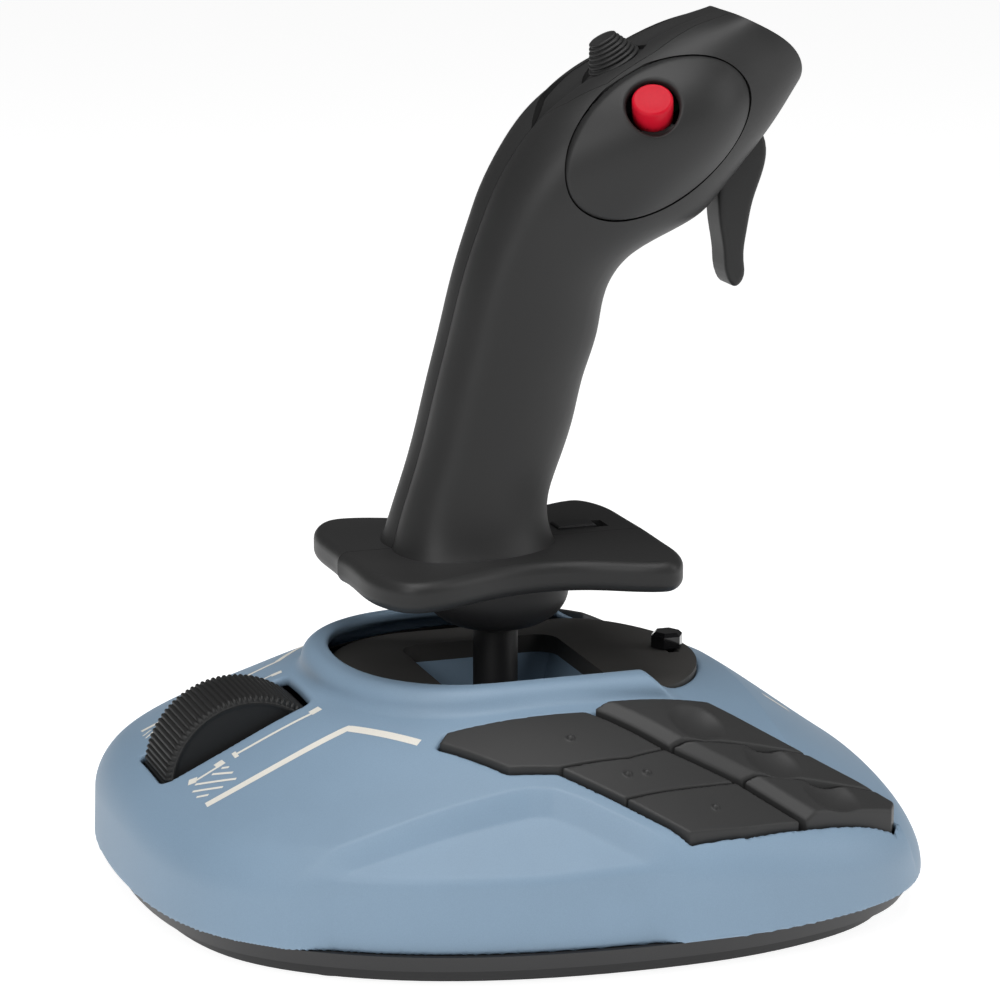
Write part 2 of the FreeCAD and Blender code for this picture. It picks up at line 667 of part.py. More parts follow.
def make_wheel():
    """The thumb wheel: a ribbed tread, round shoulders, shallow side recesses and a hub bore."""
    ring = []
    for i in range(WHEEL_RIBS * 2):
        r = WHEEL_R - (WHEEL_RIB_H if i % 2 else 0.0)
        t = math.pi * i / WHEEL_RIBS
        for shift in (-RIB_HALF_SHARE, RIB_HALF_SHARE):
            a = t + shift * math.pi / WHEEL_RIBS
            ring.append(Vector(-WHEEL_HALF_W, WHEEL_Y + r * math.cos(a), WHEEL_Z + r * math.sin(a)))
    tread = Part.Face(Part.makePolygon(ring + ring[:1])).extrude(Vector(2 * WHEEL_HALF_W, 0, 0))
    body = rod(WHEEL_R, (-WHEEL_HALF_W, WHEEL_Y, WHEEL_Z), (WHEEL_HALF_W, WHEEL_Y, WHEEL_Z))
    rims = [e for e in body.Edges if e.BoundBox.XLength < FIT]
    wheel = tread.common(body.makeFillet(WHEEL_EDGE_R, rims))
    cuts = [rod(GIMBAL_PIN_R + FIT, (-WHEEL_R, WHEEL_Y, WHEEL_Z), (WHEEL_R, WHEEL_Y, WHEEL_Z))]
    for side in (-1, 1):
        face = side * WHEEL_HALF_W
        cuts.append(tube(WHEEL_DISH_R[1], WHEEL_DISH_R[0], (face, WHEEL_Y, WHEEL_Z),
                         (face - side * WHEEL_DISH, WHEEL_Y, WHEEL_Z)))
    return wheel.cut(fuse(cuts))


def make_throttle_axle():
    end = BRACKET_X[1] + AXLE_END
    return rod(GIMBAL_PIN_R, (-BRACKET_X[1], WHEEL_Y, WHEEL_Z), (end, WHEEL_Y, WHEEL_Z))


def ear(x, y_mid, half_w, z0, pin_z):
    """An upright ear with a round top and a bore for a pin along X."""
    post = box(x, (y_mid - half_w, y_mid + half_w), (z0, pin_z))
    post = post.fuse(rod(half_w, (x[0], y_mid, pin_z), (x[1], y_mid, pin_z)))
    return post.cut(rod(GIMBAL_PIN_R + FIT, (x[0] - 1, y_mid, pin_z), (x[1] + 1, y_mid, pin_z)))


def make_bracket():
    """The two ears that hold the throttle axle, on one foot."""
    x0, x1 = BRACKET_X
    y = (WHEEL_Y - BRACKET_HALF_W, WHEEL_Y + BRACKET_HALF_W)
    foot = box((-x1, x1), y, (PLATE_FLOOR_Z, PLATE_FLOOR_Z + BRACKET_T))
    right = ear((x0, x1), WHEEL_Y, BRACKET_HALF_W, PLATE_FLOOR_Z, WHEEL_Z)
    return foot.fuse([right, mirror(right)])


def make_throttle_sensor():
    """The rotary sensor on the axle's right end, beside the ear."""
    x = BRACKET_X[1]
    case = rod(SENSOR_R, (x, WHEEL_Y, WHEEL_Z), (x + SENSOR_T, WHEEL_Y, WHEEL_Z))
    bore = rod(GIMBAL_PIN_R + FIT, (x, WHEEL_Y, WHEEL_Z), (x + SENSOR_T, WHEEL_Y, WHEEL_Z))
    return case.cut(bore)


# ---------------------------------------------------------------- button clusters

def make_cap(outline, rise):
    """A keycap that follows the cone, with a skirt below and a stem down to its pad."""
    column = prism(grown(corner_wire(outline, 0), -BUTTON_GAP), FAR)
    cap = column.common(under_cone(-rise)).cut(under_cone(CAP_SKIRT))
    x, y = middle(outline)
    stem = rod(STEM_R, (x, y, STEM_Z), (x, y, DRAFT_Z)).common(under_cone(CAP_SKIRT / 2))
    return cap.fuse(stem)


def make_near_cap(outline):
    return make_cap(outline, NEAR_ROW_Z)


def make_dished_cap(outline, centre):
    x, y = centre
    r = math.hypot(x, y)
    slope = (CONE[3][1] - CONE[5][1]) / (CONE[5][0] - CONE[3][0])
    z = CONE[3][1] - slope * (r - CONE[3][0]) + FAR_ROW_Z
    normal = Vector(slope * x / r, slope * y / r, 1).normalize()
    ball_r = (DISH_R ** 2 + DISH_DEPTH ** 2) / (2 * DISH_DEPTH)
    ball = Part.makeSphere(ball_r, Vector(x, y, z) + normal * (ball_r - DISH_DEPTH))
    return make_cap(outline, FAR_ROW_Z).cut(ball)


def middle(outline):
    """The mean of an outline's corners."""
    return sum(p[0] for p in outline) / len(outline), sum(p[1] for p in outline) / len(outline)


def button_centres():
    return [middle(outline) for outline in NEAR_BUTTONS + FAR_BUTTONS]


def make_board():
    """The circuit board under the right cluster, and its two posts' holes."""
    board = box(BOARD_X, BOARD_Y, (BOARD_Z, BOARD_Z + BOARD_T))
    holes = [rod(SCREW_R, (x, y, 0), (x, y, FAR)) for x, y in BOARD_POSTS]
    return board.cut(fuse(holes))


def make_pads():
    """The rubber sheet on the right board, with a domed pad under each stem."""
    low = BOARD_Z + BOARD_T
    sheet = box(BOARD_X, BOARD_Y, (low, low + SHEET_T))
    pads = []
    for x, y in button_centres():
        pads.append(Part.makeCone(PAD_FOOT_R, STEM_R, DOME_PAD_Z - low, Vector(x, y, low)))
    holes = [rod(BOSS_R, (x, y, 0), (x, y, FAR)) for x, y in BOARD_POSTS]
    return sheet.fuse(pads).cut(fuse(holes))


# ---------------------------------------------------------------- gimbal and shaft

def make_yoke():
    """The fixed frame: a foot with an ear at each end of the pitch axis."""
    x0, x1 = YOKE_X
    foot = box((-x1, x1), (-YOKE_HALF_Y, YOKE_HALF_Y), (PLATE_FLOOR_Z, PLATE_FLOOR_Z + YOKE_FOOT_T))
    window = box((-x0, x0), (-YOKE_WINDOW, YOKE_WINDOW), (0, FAR))
    right = ear((x0, x1), 0.0, YOKE_EAR_HALF_W, PLATE_FLOOR_Z, PIVOT_Z)
    return foot.cut(window).fuse([right, mirror(right)])


def make_ring():
    """The swinging ring, with pitch pins on X and bores for the roll pins on Y."""
    z = (PIVOT_Z - RING_HALF_H, PIVOT_Z + RING_HALF_H)
    ring = tube(RING_R[1], RING_R[0], (0, 0, z[0]), (0, 0, z[1]))
    pins = []
    for side in (-1, 1):
        start = (side * (RING_R[0] + 1), 0, PIVOT_Z)
        pins.append(rod(GIMBAL_PIN_R, start, (side * YOKE_X[1], 0, PIVOT_Z)))
    bore = rod(GIMBAL_PIN_R + FIT, (0, -RING_R[1] - 1, PIVOT_Z), (0, RING_R[1] + 1, PIVOT_Z))
    return ring.fuse(pins).cut(bore)


def make_block():
    """The centre block, with roll pins on Y and the upright bearing for the shaft."""
    h = BLOCK_HALF
    block = box((-h, h), (-h, h), (PIVOT_Z - BLOCK_LOW, PIVOT_Z + BLOCK_HIGH))
    pins = []
    for side in (-1, 1):
        start = (0, side * (h - 2), PIVOT_Z)
        pins.append(rod(GIMBAL_PIN_R, start, (0, side * RING_R[1], PIVOT_Z)))
    return block.fuse(pins).cut(rod(SHAFT_R + FIT, (0, 0, 0), (0, 0, DRAFT_Z)))


def make_shaft():
    return tube(SHAFT_R, SHAFT_BORE_R, (0, 0, SHAFT_Z[0]), (0, 0, SHAFT_Z[1]))


def make_stop_ring():
    """The clamp ring under the block that keeps the shaft in place."""
    z = PIVOT_Z - BLOCK_LOW - FIT
    return tube(STOP_R, SHAFT_R, (0, 0, z - STOP_T), (0, 0, z))


def make_magnet():
    """The magnet holder in the shaft's lower end."""
    plug = rod(SHAFT_BORE_R, (0, 0, SHAFT_Z[0]), (0, 0, SHAFT_Z[0] + MAGNET_PLUG))
    return plug.fuse(rod(SHAFT_R, (0, 0, SHAFT_Z[0] - MAGNET_T), (0, 0, SHAFT_Z[0])))


def make_sensor_board():
    """The field sensor board under the magnet, on the yoke's foot level."""
    side = (-SENSOR_BOARD, SENSOR_BOARD)
    top = SENSOR_BOARD_Z + BOARD_T
    board = box(side, side, (SENSOR_BOARD_Z, top))
    chip = box((-CHIP_HALF, CHIP_HALF), (-CHIP_HALF, CHIP_HALF), (top, top + CHIP_T))
    reach = SENSOR_BOARD - LEG_INSET
    legs = []
    for sx, sy in CORNERS:
        x, y = sx * reach, sy * reach
        legs.append(rod(LEG_R, (x, y, PLATE_FLOOR_Z), (x, y, SENSOR_BOARD_Z)))
    return board.fuse([chip] + legs)


def make_sleeve():
    """The outer sleeve that the centring spring pushes down, with its domed foot."""
    centre = Vector(0, 0, PIVOT_Z)
    dome = Part.makeSphere(DOME_R, centre).cut(Part.makeSphere(DOME_R - DOME_WALL, centre))
    dome = dome.common(box((-FAR, FAR), (-FAR, FAR), (DOME_Z, FAR)))
    sleeve = rod(SLEEVE_R, (0, 0, PIVOT_Z + DOME_R - 2 * DOME_WALL), (0, 0, SLEEVE_TOP_Z))
    return dome.fuse(sleeve).cut(rod(SHAFT_R + FIT, (0, 0, 0), (0, 0, FAR)))


def make_centering_spring():
    low = SLEEVE_TOP_Z + SPRING_WIRE_R
    high = COLLAR_Z[1] - SPRING_WIRE_R - FIT
    return coil(SPRING_R, SPRING_WIRE_R, low, high, SPRING_TURNS)


def make_twist_spring():
    z0 = PIVOT_Z + BLOCK_HIGH + TWIST_WIRE_R
    return coil(TWIST_R, TWIST_WIRE_R, z0 + FIT, z0 + TWIST_H, TWIST_TURNS)


def make_collar():
    """The bowl under the hand rest that holds the centring spring."""
    low = [Vector(SLEEVE_R + FIT, 0, COLLAR_Z[0])]
    bend = [Vector(r, 0, COLLAR_Z[0] + rise) for r, rise in COLLAR_BOWL]
    curve = Part.BSplineCurve()
    curve.interpolate(Points=low + bend + [Vector(COLLAR_R, 0, COLLAR_Z[1])])
    top = [curve.EndPoint, Vector(SLEEVE_R + FIT, 0, COLLAR_Z[1]), curve.StartPoint]
    face = Part.Face(Part.Wire([curve.toShape()] + Part.makePolygon(top).Edges))
    bowl = face.revolve(Vector(0, 0, 0), Vector(0, 0, 1), 360)
    return bowl.cut(rod(SPRING_POCKET_R, (0, 0, COLLAR_Z[0] + COLLAR_FLOOR), (0, 0, COLLAR_Z[1])))


# ---------------------------------------------------------------- grip and head

def station_wire(station, inset):
    """One section of the grip and head, drawn in evenly by inset."""
    (by, bz), (fy, fz), half_w, facet, crown = station
    back = Vector(0, by, bz)
    along = Vector(0, fy, fz) - back
    depth = along.Length
    along.normalize()
    k = (half_w - inset) / half_w
    right = [(s, k * w * half_w) for s, w in [(-crown / depth, facet)] + SECTION]
    ring = [(0.0, 0.0)] + right + [(1.0, 0.0)] + [(s, -x) for s, x in reversed(right)]
    points = []
    for s, x in ring:
        run = inset + s * (depth - 2 * inset)
        points.append(back + along * run + Vector(x, 0, 0))
    return smooth_wire(points)


def grip_form(inset):
    return Part.makeLoft([station_wire(s, inset) for s in STATIONS], True, False)


def nose_cut(inset):
    """The space in front of the nose's curved face and under its lip."""
    face = [(y - inset, z - inset / 2) for y, z in NOSE_FACE]
    curve = Part.BSplineCurve()
    curve.interpolate(Points=[Vector(-FAR / 4, y, z) for y, z in face])
    first, last = face[0], face[-1]
    under = (LIP[1][0], LIP[1][1] + inset)
    far_low = (under[0] + (under[0] - last[0]) / 5, under[1] + (under[1] - last[1]) / 5)
    ring = [last, far_low, (FAR / 2, far_low[1]), (FAR / 2, FAR), (first[0] - FAR / 8, FAR), first]
    sides = Part.makePolygon([Vector(-FAR / 4, y, z) for y, z in ring]).Edges
    return Part.Face(Part.Wire([curve.toShape()] + sides)).extrude(Vector(FAR / 2, 0, 0))


def rest_form(inset):
    """The hand rest's plate."""
    outline = both_sides(REST_RIGHT, REST_REAR_Y, REST_FRONT_Y)
    k = 1 - inset / REST_FRONT_Y
    wire = flat_wire([(k * x, k * y) for x, y in outline], REST_Z[0] + inset)
    plate = prism(wire, REST_Z[1] - REST_Z[0] - 2 * inset)
    if inset:
        return plate
    rims = [e for e in plate.Edges if e.BoundBox.ZLength < FIT]
    return plate.makeFillet(REST_EDGE_R, rims)


def module_form(grow, x0):
    """The oval bulge on the right side of the head."""
    ring = []
    for i in range(OVAL_POINTS):
        t = 2 * math.pi * i / OVAL_POINTS
        u = (MODULE_A + grow) * math.cos(t)
        v = (MODULE_B + grow) * math.sin(t)
        r = math.radians(MODULE_RISE_DEG)
        y = MODULE_C[0] + u * math.cos(r) - v * math.sin(r)
        z = MODULE_C[1] + u * math.sin(r) + v * math.cos(r)
        ring.append(Vector(x0, y, z))
    return Part.Face(smooth_wire(ring)).extrude(Vector(MODULE_X[1] - x0, 0, 0))


def side_button_space(r, start, depth):
    """A round space along the right side button's axis, measured from the cap's top."""
    axis = Vector(*SIDE_BUTTON_AXIS).normalize()
    top = Vector(*SIDE_BUTTON_TOP)
    return Part.makeCylinder(r, depth, top - axis * start, -axis)


def make_right_module():
    """The oval side shell, which stands proud of the head, and the recess for the button."""
    outer = grip_form(-MODULE_PROUD)
    body = module_form(0.0, MODULE_X[0]).common(outer)
    body = body.cut(module_form(-GRIP_WALL, MODULE_X[0]).common(grip_form(GRIP_WALL - MODULE_PROUD)))
    well = side_button_space(SIDE_RECESS_R + TUB_WALL, SIDE_RECESS_DEPTH - TUB_WALL, WELL_L)
    body = body.fuse(well.common(module_form(-1.0, MODULE_X[0])).common(outer))
    recess = side_button_space(SIDE_RECESS_R, -SIDE_RECESS_DEPTH, 2 * SIDE_RECESS_DEPTH)
    bore = side_button_space(SIDE_BUTTON_R + SIDE_BUTTON_GAP, 0.0, SIDE_BORE_L)
    return biggest(body.cut(fuse([recess, bore])))


def make_side_button():
    cap = side_button_space(SIDE_BUTTON_R, 0.0, SIDE_BUTTON_LEN)
    top = [e for e in cap.Edges if (e.CenterOfMass - Vector(*SIDE_BUTTON_TOP)).Length < 1.0]
    return cap.makeFillet(SIDE_BUTTON_ROUND, top)


def make_side_switch():
    """The small switch behind the right side button."""
    start = SIDE_BUTTON_LEN + SIDE_BUTTON_TRAVEL + SIDE_SWITCH_GAP
    return side_button_space(SIDE_BUTTON_R - SIDE_ROOM, start, SIDE_SWITCH_L)


def panel_prism(grow, drop):
    """The top panel's plan, seen square on to the head's top, down to a sloping floor."""
    low = Vector(0, *PANEL_POINT)
    run = (Vector(0, *PANEL_END) - low).normalize()
    up = Vector(0, -run.z, run.y)
    base = low - up * (PANEL_T + drop)
    ring = []
    for s, w in PANEL_HALF_W[1:]:
        ring.append(base + run * s + Vector(w + grow, 0, 0))
    for s, w in reversed(PANEL_HALF_W[1:]):
        ring.append(base + run * s - Vector(w + grow, 0, 0))
    ring.append(base - run * 2 * grow)
    return Part.Face(Part.makePolygon(ring + ring[:1])).extrude(up * (PANEL_T + drop + PANEL_ROOM))


def hat_frame(shape):
    """Set a shape drawn round +Z at the hat's place on the panel."""
    t = math.radians(HAT_TILT_DEG)
    return turned(shape, (0, -math.sin(t), math.cos(t)), (0, HAT_Y, HAT_Z))


def make_hat():
    """The ringed cone and its stem."""
    body = rod(HAT_R[0], (0, 0, HAT_CLEAR), (0, 0, HAT_CLEAR + HAT_BRIM))
    step = (HAT_H - HAT_BRIM) / HAT_RINGS
    for i in range(HAT_RINGS):
        r = HAT_R[0] + (HAT_R[1] - HAT_R[0]) * (i + HAT_RING_START) / HAT_RINGS
        z = HAT_CLEAR + HAT_BRIM + i * step
        body = body.fuse(Part.makeCone(r, r - HAT_RING_TAPER, step, Vector(0, 0, z)))
    stem = rod(HAT_STEM_R, (0, 0, -HAT_STEM_L), (0, 0, HAT_CLEAR + HAT_BRIM / 2))
    return hat_frame(body.fuse(stem))


def make_hat_ring():
    """The ring that the hat's stem rocks in."""
    z = (-HAT_PIVOT - HAT_RING_HALF_H, -HAT_PIVOT + HAT_RING_HALF_H)
    return hat_frame(tube(HAT_RING_R[1], HAT_RING_R[0], (0, 0, z[0]), (0, 0, z[1])))


def make_hat_switch():
    """The four-way switch under the hat, on the grip board."""
    side = (-HAT_SWITCH_HALF, HAT_SWITCH_HALF)
    low = -HAT_STEM_L - HAT_ROOM - HAT_SWITCH_H
    return hat_frame(box(side, side, (low, low + HAT_SWITCH_H)))


def make_grip_board():
    top = -HAT_STEM_L - HAT_ROOM - HAT_SWITCH_H
    half_x, half_y = GRIP_BOARD
    return hat_frame(box((-half_x, half_x), (-half_y, half_y), (top - BOARD_T, top)))


def trigger_space():
    return side_prism(TRIGGER_SLOT, TRIGGER_HALF_W + TRIGGER_SLOT_GAP)


def make_trigger():
    """The blade, with a hub round its pin."""
    body = side_prism(TRIGGER, TRIGGER_HALF_W, smooth=True)
    y, z = TRIGGER_PIVOT
    return body.cut(rod(TRIGGER_PIN_R + FIT, (-FAR, y, z), (FAR, y, z)))


def make_trigger_spring():
    """A torsion coil on the trigger's pin."""
    spring = coil(TRIGGER_COIL_R, TRIGGER_WIRE_R, 0, TRIGGER_COIL_L, TRIGGER_TURNS)
    x = TRIGGER_HALF_W + TRIGGER_SLOT_GAP + TRIGGER_WIRE_R
    return turned(spring, (1, 0, 0), (x, TRIGGER_PIVOT[0], TRIGGER_PIVOT[1]))


def make_trigger_pin():
    y, z = TRIGGER_PIVOT
    return rod(TRIGGER_PIN_R, (-TRIGGER_PIN_L, y, z), (TRIGGER_PIN_L, y, z))


def lip_slab():
    """A slab along the nose's lower front edge."""
    (y0, z0), (y1, z1) = LIP
    n = Vector(0, z1 - z0, y0 - y1).normalize()
    dy, dz = n.y * LIP_T, n.z * LIP_T
    ring = [(y0, z0), (y1, z1), (y1 + dy, z1 + dz), (y0 + dy, z0 + dz)]
    return side_prism(ring, LIP_HALF_W)


def grip_bosses(cavity):
    """Bosses for the screws that join the halves, and for the trigger's pin."""
    parts = [tube(BOSS_R, SCREW_R, (-FAR, y, z), (FAR, y, z)) for y, z, _ in GRIP_SCREWS]
    y, z = TRIGGER_PIVOT
    for side in (-1, 1):
        start = (side * TRIGGER_BOSS_X, y, z)
        parts.append(tube(BOSS_R, TRIGGER_PIN_R + FIT, start, (side * FAR, y, z)))
    return fuse(parts).common(cavity)


def make_head_parts():
    """Both grip halves, the top panel and the nose's lip, cut from one outer form."""
    nose = nose_cut(0.0)
    head = grip_form(0.0).cut(nose)
    outer = head.fuse(rest_form(0.0))
    hollow = grip_form(GRIP_WALL).cut(nose_cut(GRIP_WALL))
    hollow = hollow.common(box((-FAR, FAR), (-FAR, FAR), (REST_Z[0] + REST_WALL, FAR)))
    cavity = hollow.fuse(rest_form(REST_WALL))
    panel = head.common(panel_prism(0.0, 0.0))
    hat_hole = hat_frame(rod(HAT_HOLE_R, (0, 0, -FAR / 8), (0, 0, FAR / 8)))
    dimple = hat_frame(rod(DIMPLE_R, (0, 0, -DIMPLE_DEPTH), (0, 0, FAR / 8)))
    panel = panel.cut(fuse([hat_hole, dimple]))
    lip = head.common(lip_slab()).cut(trigger_space())
    shaft_hole = rod(SHAFT_R + FIT, (0, 0, 0), (0, 0, REST_Z[1]))
    lock_y = (LOCK_Y[0] - FIT, LOCK_Y[1] + LOCK_TRAVEL + FIT)
    lock_z = (REST_Z[1] - LOCK_T, REST_Z[1] + LOCK_T)
    lock_slot = box((LOCK_X[0] - FIT, LOCK_X[1] + FIT), lock_y, lock_z)
    shell = outer.cut(cavity).fuse(grip_bosses(cavity))
    spaces = [panel_prism(PANEL_GAP, PANEL_GAP), lip_slab(), trigger_space(), shaft_hole]
    shell = shell.cut(fuse(spaces))
    right = shell.common(box((SEAM, FAR), (-FAR, FAR), (0, FAR)))
    reach = SIDE_BUTTON_LEN + SIDE_SWITCH_REACH
    side_space = side_button_space(SIDE_BUTTON_R + SIDE_ROOM, -SIDE_ROOM, reach)
    right = biggest(right.cut(module_form(MODULE_GAP, MODULE_X[0] - MODULE_GAP)).cut(side_space))
    sink = SCREW_SINK + SCREW_HEAD_H
    holes = [rod(SCREW_HEAD_R, (-FAR, y, z), (sink - w, y, z)) for y, z, w in GRIP_SCREWS]
    holes += [rod(SCREW_R, (-FAR, y, z), (0, y, z)) for y, z, w in GRIP_SCREWS]
    left = biggest(mirror(right).cut(fuse(holes)).cut(lock_slot))
    return right, left, biggest(panel), lip


def biggest(shape):
    """The main solid, without slivers."""
    return max(shape.Solids, key=lambda solid: solid.Volume)


def make_grip_core():
    """The block that clamps the shaft inside the grip."""
    core = box((-CORE_HALF, CORE_HALF), (-CORE_HALF, CORE_HALF), CORE_Z)
    core = core.makeFillet(CORE_EDGE_R, [e for e in core.Edges if e.BoundBox.ZLength > CORE_HALF])
    return core.cut(rod(SHAFT_R, (0, 0, 0), (0, 0, FAR)))


def make_grip_screws():
    screws = [screw((SCREW_SINK - w, y, z), (GRIP_SCREW_BITE, y, z)) for y, z, w in GRIP_SCREWS]
    return Part.makeCompound(screws)


def make_lock():
    """The twist lock's slider."""
    slider = box(LOCK_X, LOCK_Y, (REST_Z[1] - LOCK_T + FIT, REST_Z[1] + LOCK_PROUD))
    return slider.makeChamfer(LOCK_PROUD / 2, [e for e in slider.Edges if e.BoundBox.ZMin > REST_Z[1]])


def make_main_board():
    board = box(MAIN_X, MAIN_Y, (MAIN_Z, MAIN_Z + BOARD_T))
    top = MAIN_Z + BOARD_T
    chips = [box(x, MAIN_CHIP_Y, (top, top + CHIP_T)) for x in MAIN_CHIPS_X]
    legs = [rod(BOSS_R, (x, y, PLATE_FLOOR_Z), (x, y, MAIN_Z)) for x in MAIN_LEGS_X for y in MAIN_LEGS_Y]
    return board.fuse(chips + legs)


def make_ballast():
    return box(BALLAST_X, BALLAST_Y, (PLATE_FLOOR_Z, PLATE_FLOOR_Z + BALLAST_T))


def make_gland():
    """The rubber bush where the cable leaves, in the front wall."""
    y = BASE_FRONT_Y - COVER_WALL - GLAND_BACK
    neck = rod(GLAND_R - FIT, (0, y, GLAND_Z), (0, BASE_FRONT_Y - GLAND_SUNK, GLAND_Z))
    flange = rod(GLAND_FLANGE_R, (0, y - GLAND_FLANGE_T, GLAND_Z), (0, y, GLAND_Z))
    return neck.fuse(flange).cut(rod(GLAND_BORE_R, (0, 0, GLAND_Z), (0, FAR, GLAND_Z)))


def under_cover(shape):
    """The part of a shape that fits inside the cover's walls."""
    return shape.common(base_wall(BOARD_INSET, 0, FAR / 4))


nodes["base_cover"] = make_cover()
nodes["base_plate"] = make_plate()
nodes["rubber_feet"] = make_feet()
nodes["base_screws"] = make_base_screws()
nodes["ballast_weight"] = make_ballast()
nodes["cable_gland"] = make_gland()
nodes["main_board"] = make_main_board()
nodes["deck_panel"] = make_deck()
nodes["well_tub"] = make_tub()
nodes["selector_knob"] = make_knob()
nodes["selector_switch"] = make_selector_switch()
nodes["throttle_wheel"] = make_wheel()
nodes["throttle_axle"] = make_throttle_axle()
nodes["throttle_bracket"] = make_bracket()
nodes["throttle_sensor"] = make_throttle_sensor()
for i, outline in enumerate(NEAR_BUTTONS):
    cap = make_near_cap(outline)
    nodes["right_near_button_%d" % (i + 1)] = cap
    nodes["left_near_button_%d" % (i + 1)] = mirror(cap)
for i, outline in enumerate(FAR_BUTTONS):
    cap = make_dished_cap(outline, DISHES[i])
    nodes["right_far_button_%d" % (i + 1)] = cap
    nodes["left_far_button_%d" % (i + 1)] = mirror(cap)
board = under_cover(make_board())
pads = under_cover(make_pads())
nodes["button_boards"] = Part.makeCompound([board, mirror(board)])
nodes["pad_sheets"] = Part.makeCompound([pads, mirror(pads)])
nodes["gimbal_yoke"] = make_yoke()
nodes["gimbal_ring"] = make_ring()
nodes["gimbal_block"] = make_block()
nodes["shaft"] = make_shaft()
nodes["shaft_stop_ring"] = make_stop_ring()
nodes["magnet_holder"] = make_magnet()
nodes["sensor_board"] = make_sensor_board()
nodes["shaft_sleeve"] = make_sleeve()
nodes["centering_spring"] = make_centering_spring()
nodes["twist_spring"] = make_twist_spring()
nodes["collar_cup"] = make_collar()
grip_right, grip_left, top_panel, nose_lip = make_head_parts()
nodes["grip_right_half"] = grip_right
nodes["grip_left_half"] = grip_left
nodes["top_panel"] = top_panel
nodes["nose_lip"] = nose_lip
side_module = make_right_module()
nodes["right_module"] = side_module
nodes["left_module"] = mirror(side_module)
nodes["red_button"] = make_side_button()
nodes["black_side_button"] = mirror(make_side_button())
nodes["side_switches"] = Part.makeCompound([make_side_switch(), mirror(make_side_switch())])
nodes["hat_cap"] = make_hat()
nodes["hat_ring"] = make_hat_ring()
nodes["hat_switch"] = make_hat_switch()
nodes["grip_board"] = make_grip_board()
nodes["trigger"] = make_trigger()
nodes["trigger_pin"] = make_trigger_pin()
nodes["trigger_spring"] = make_trigger_spring()
nodes["trigger_switch"] = box(*TRIGGER_SWITCH)
nodes["grip_core"] = make_grip_core()
nodes["grip_screws"] = make_grip_screws()
nodes["twist_lock"] = make_lock()

os.makedirs("parts", exist_ok=True)
for name, shape in nodes.items():
    shape.exportStep("parts/" + name + ".step")
    size = shape.BoundBox
    print(name, len(shape.Solids), shape.isValid(), round(shape.Volume / 1000, 2),
          [round(v, 1) for v in (size.XMin, size.XMax, size.YMin, size.YMax, size.ZMin, size.ZMax)])
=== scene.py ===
import json
import math

import bpy
import numpy as np
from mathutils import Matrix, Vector
from mathutils.bvhtree import BVHTree


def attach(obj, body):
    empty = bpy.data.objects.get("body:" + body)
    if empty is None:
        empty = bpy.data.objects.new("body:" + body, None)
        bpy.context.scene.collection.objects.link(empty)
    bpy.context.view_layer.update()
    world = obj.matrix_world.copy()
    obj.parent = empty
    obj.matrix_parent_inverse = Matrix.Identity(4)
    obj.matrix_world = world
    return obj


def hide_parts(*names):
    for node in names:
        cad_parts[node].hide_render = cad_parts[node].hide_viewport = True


# Looks of the desktop flight joystick. Shapes are worked out in mm and made in metres.
# +X is the user's right, +Y points away from the user and +Z up.

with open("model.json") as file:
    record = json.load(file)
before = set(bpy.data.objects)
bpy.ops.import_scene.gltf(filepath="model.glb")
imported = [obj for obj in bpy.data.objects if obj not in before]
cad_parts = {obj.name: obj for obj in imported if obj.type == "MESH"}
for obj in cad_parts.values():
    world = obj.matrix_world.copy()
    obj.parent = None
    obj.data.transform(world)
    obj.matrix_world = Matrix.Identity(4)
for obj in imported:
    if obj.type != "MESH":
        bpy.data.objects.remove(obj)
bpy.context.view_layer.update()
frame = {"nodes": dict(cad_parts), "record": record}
MM = 0.001

# ---------------------------------------------------------------- finishes

# Colour, roughness, specular level, size of the moulded grain and its depth, both in mm
FINISHES = {
    "blue_shell": ((0.225, 0.325, 0.435), 0.50, 0.40, 0.30, 0.020),
    "black_plastic": ((0.018, 0.018, 0.019), 0.50, 0.35, 0.30, 0.015),
    "grip_plastic": ((0.023, 0.023, 0.023), 0.48, 0.32, 0.22, 0.010),
    "button_plastic": ((0.034, 0.034, 0.034), 0.50, 0.35, 0.25, 0.012),
    "deck_plastic": ((0.052, 0.050, 0.047), 0.62, 0.40, 0.30, 0.018),
    "wheel_plastic": ((0.018, 0.018, 0.018), 0.52, 0.30, 0.30, 0.014),
    "rubber_black": ((0.016, 0.016, 0.016), 0.78, 0.40, 0.50, 0.030),
    "gloss_black": ((0.008, 0.008, 0.009), 0.10, 0.50, 1.50, 0.002),
    "red_plastic": ((0.56, 0.006, 0.022), 0.42, 0.15, 0.80, 0.003),
    "steel": ((0.48, 0.48, 0.49), 0.28, 0.50, 0.60, 0.004),
    "circuit_board": ((0.015, 0.110, 0.045), 0.45, 0.50, 0.80, 0.010),
    "switch_body": ((0.040, 0.041, 0.043), 0.42, 0.40, 0.50, 0.006),
    "decal_ivory": ((0.80, 0.77, 0.70), 0.50, 0.40, 0.40, 0.004),
}
METAL = "steel"
SHADE_SWING = 0.06
ROUGH_SWING = 0.05
CLOUD_MM = 30.0
RAMP_STOPS = (0.3, 0.7)


def noise_node(tree, place, size_mm, detail):
    made = tree.nodes.new("ShaderNodeTexNoise")
    made.inputs["Scale"].default_value = 1 / (size_mm * MM)
    made.inputs["Detail"].default_value = detail
    tree.links.new(place.outputs["Object"], made.inputs["Vector"])
    return made


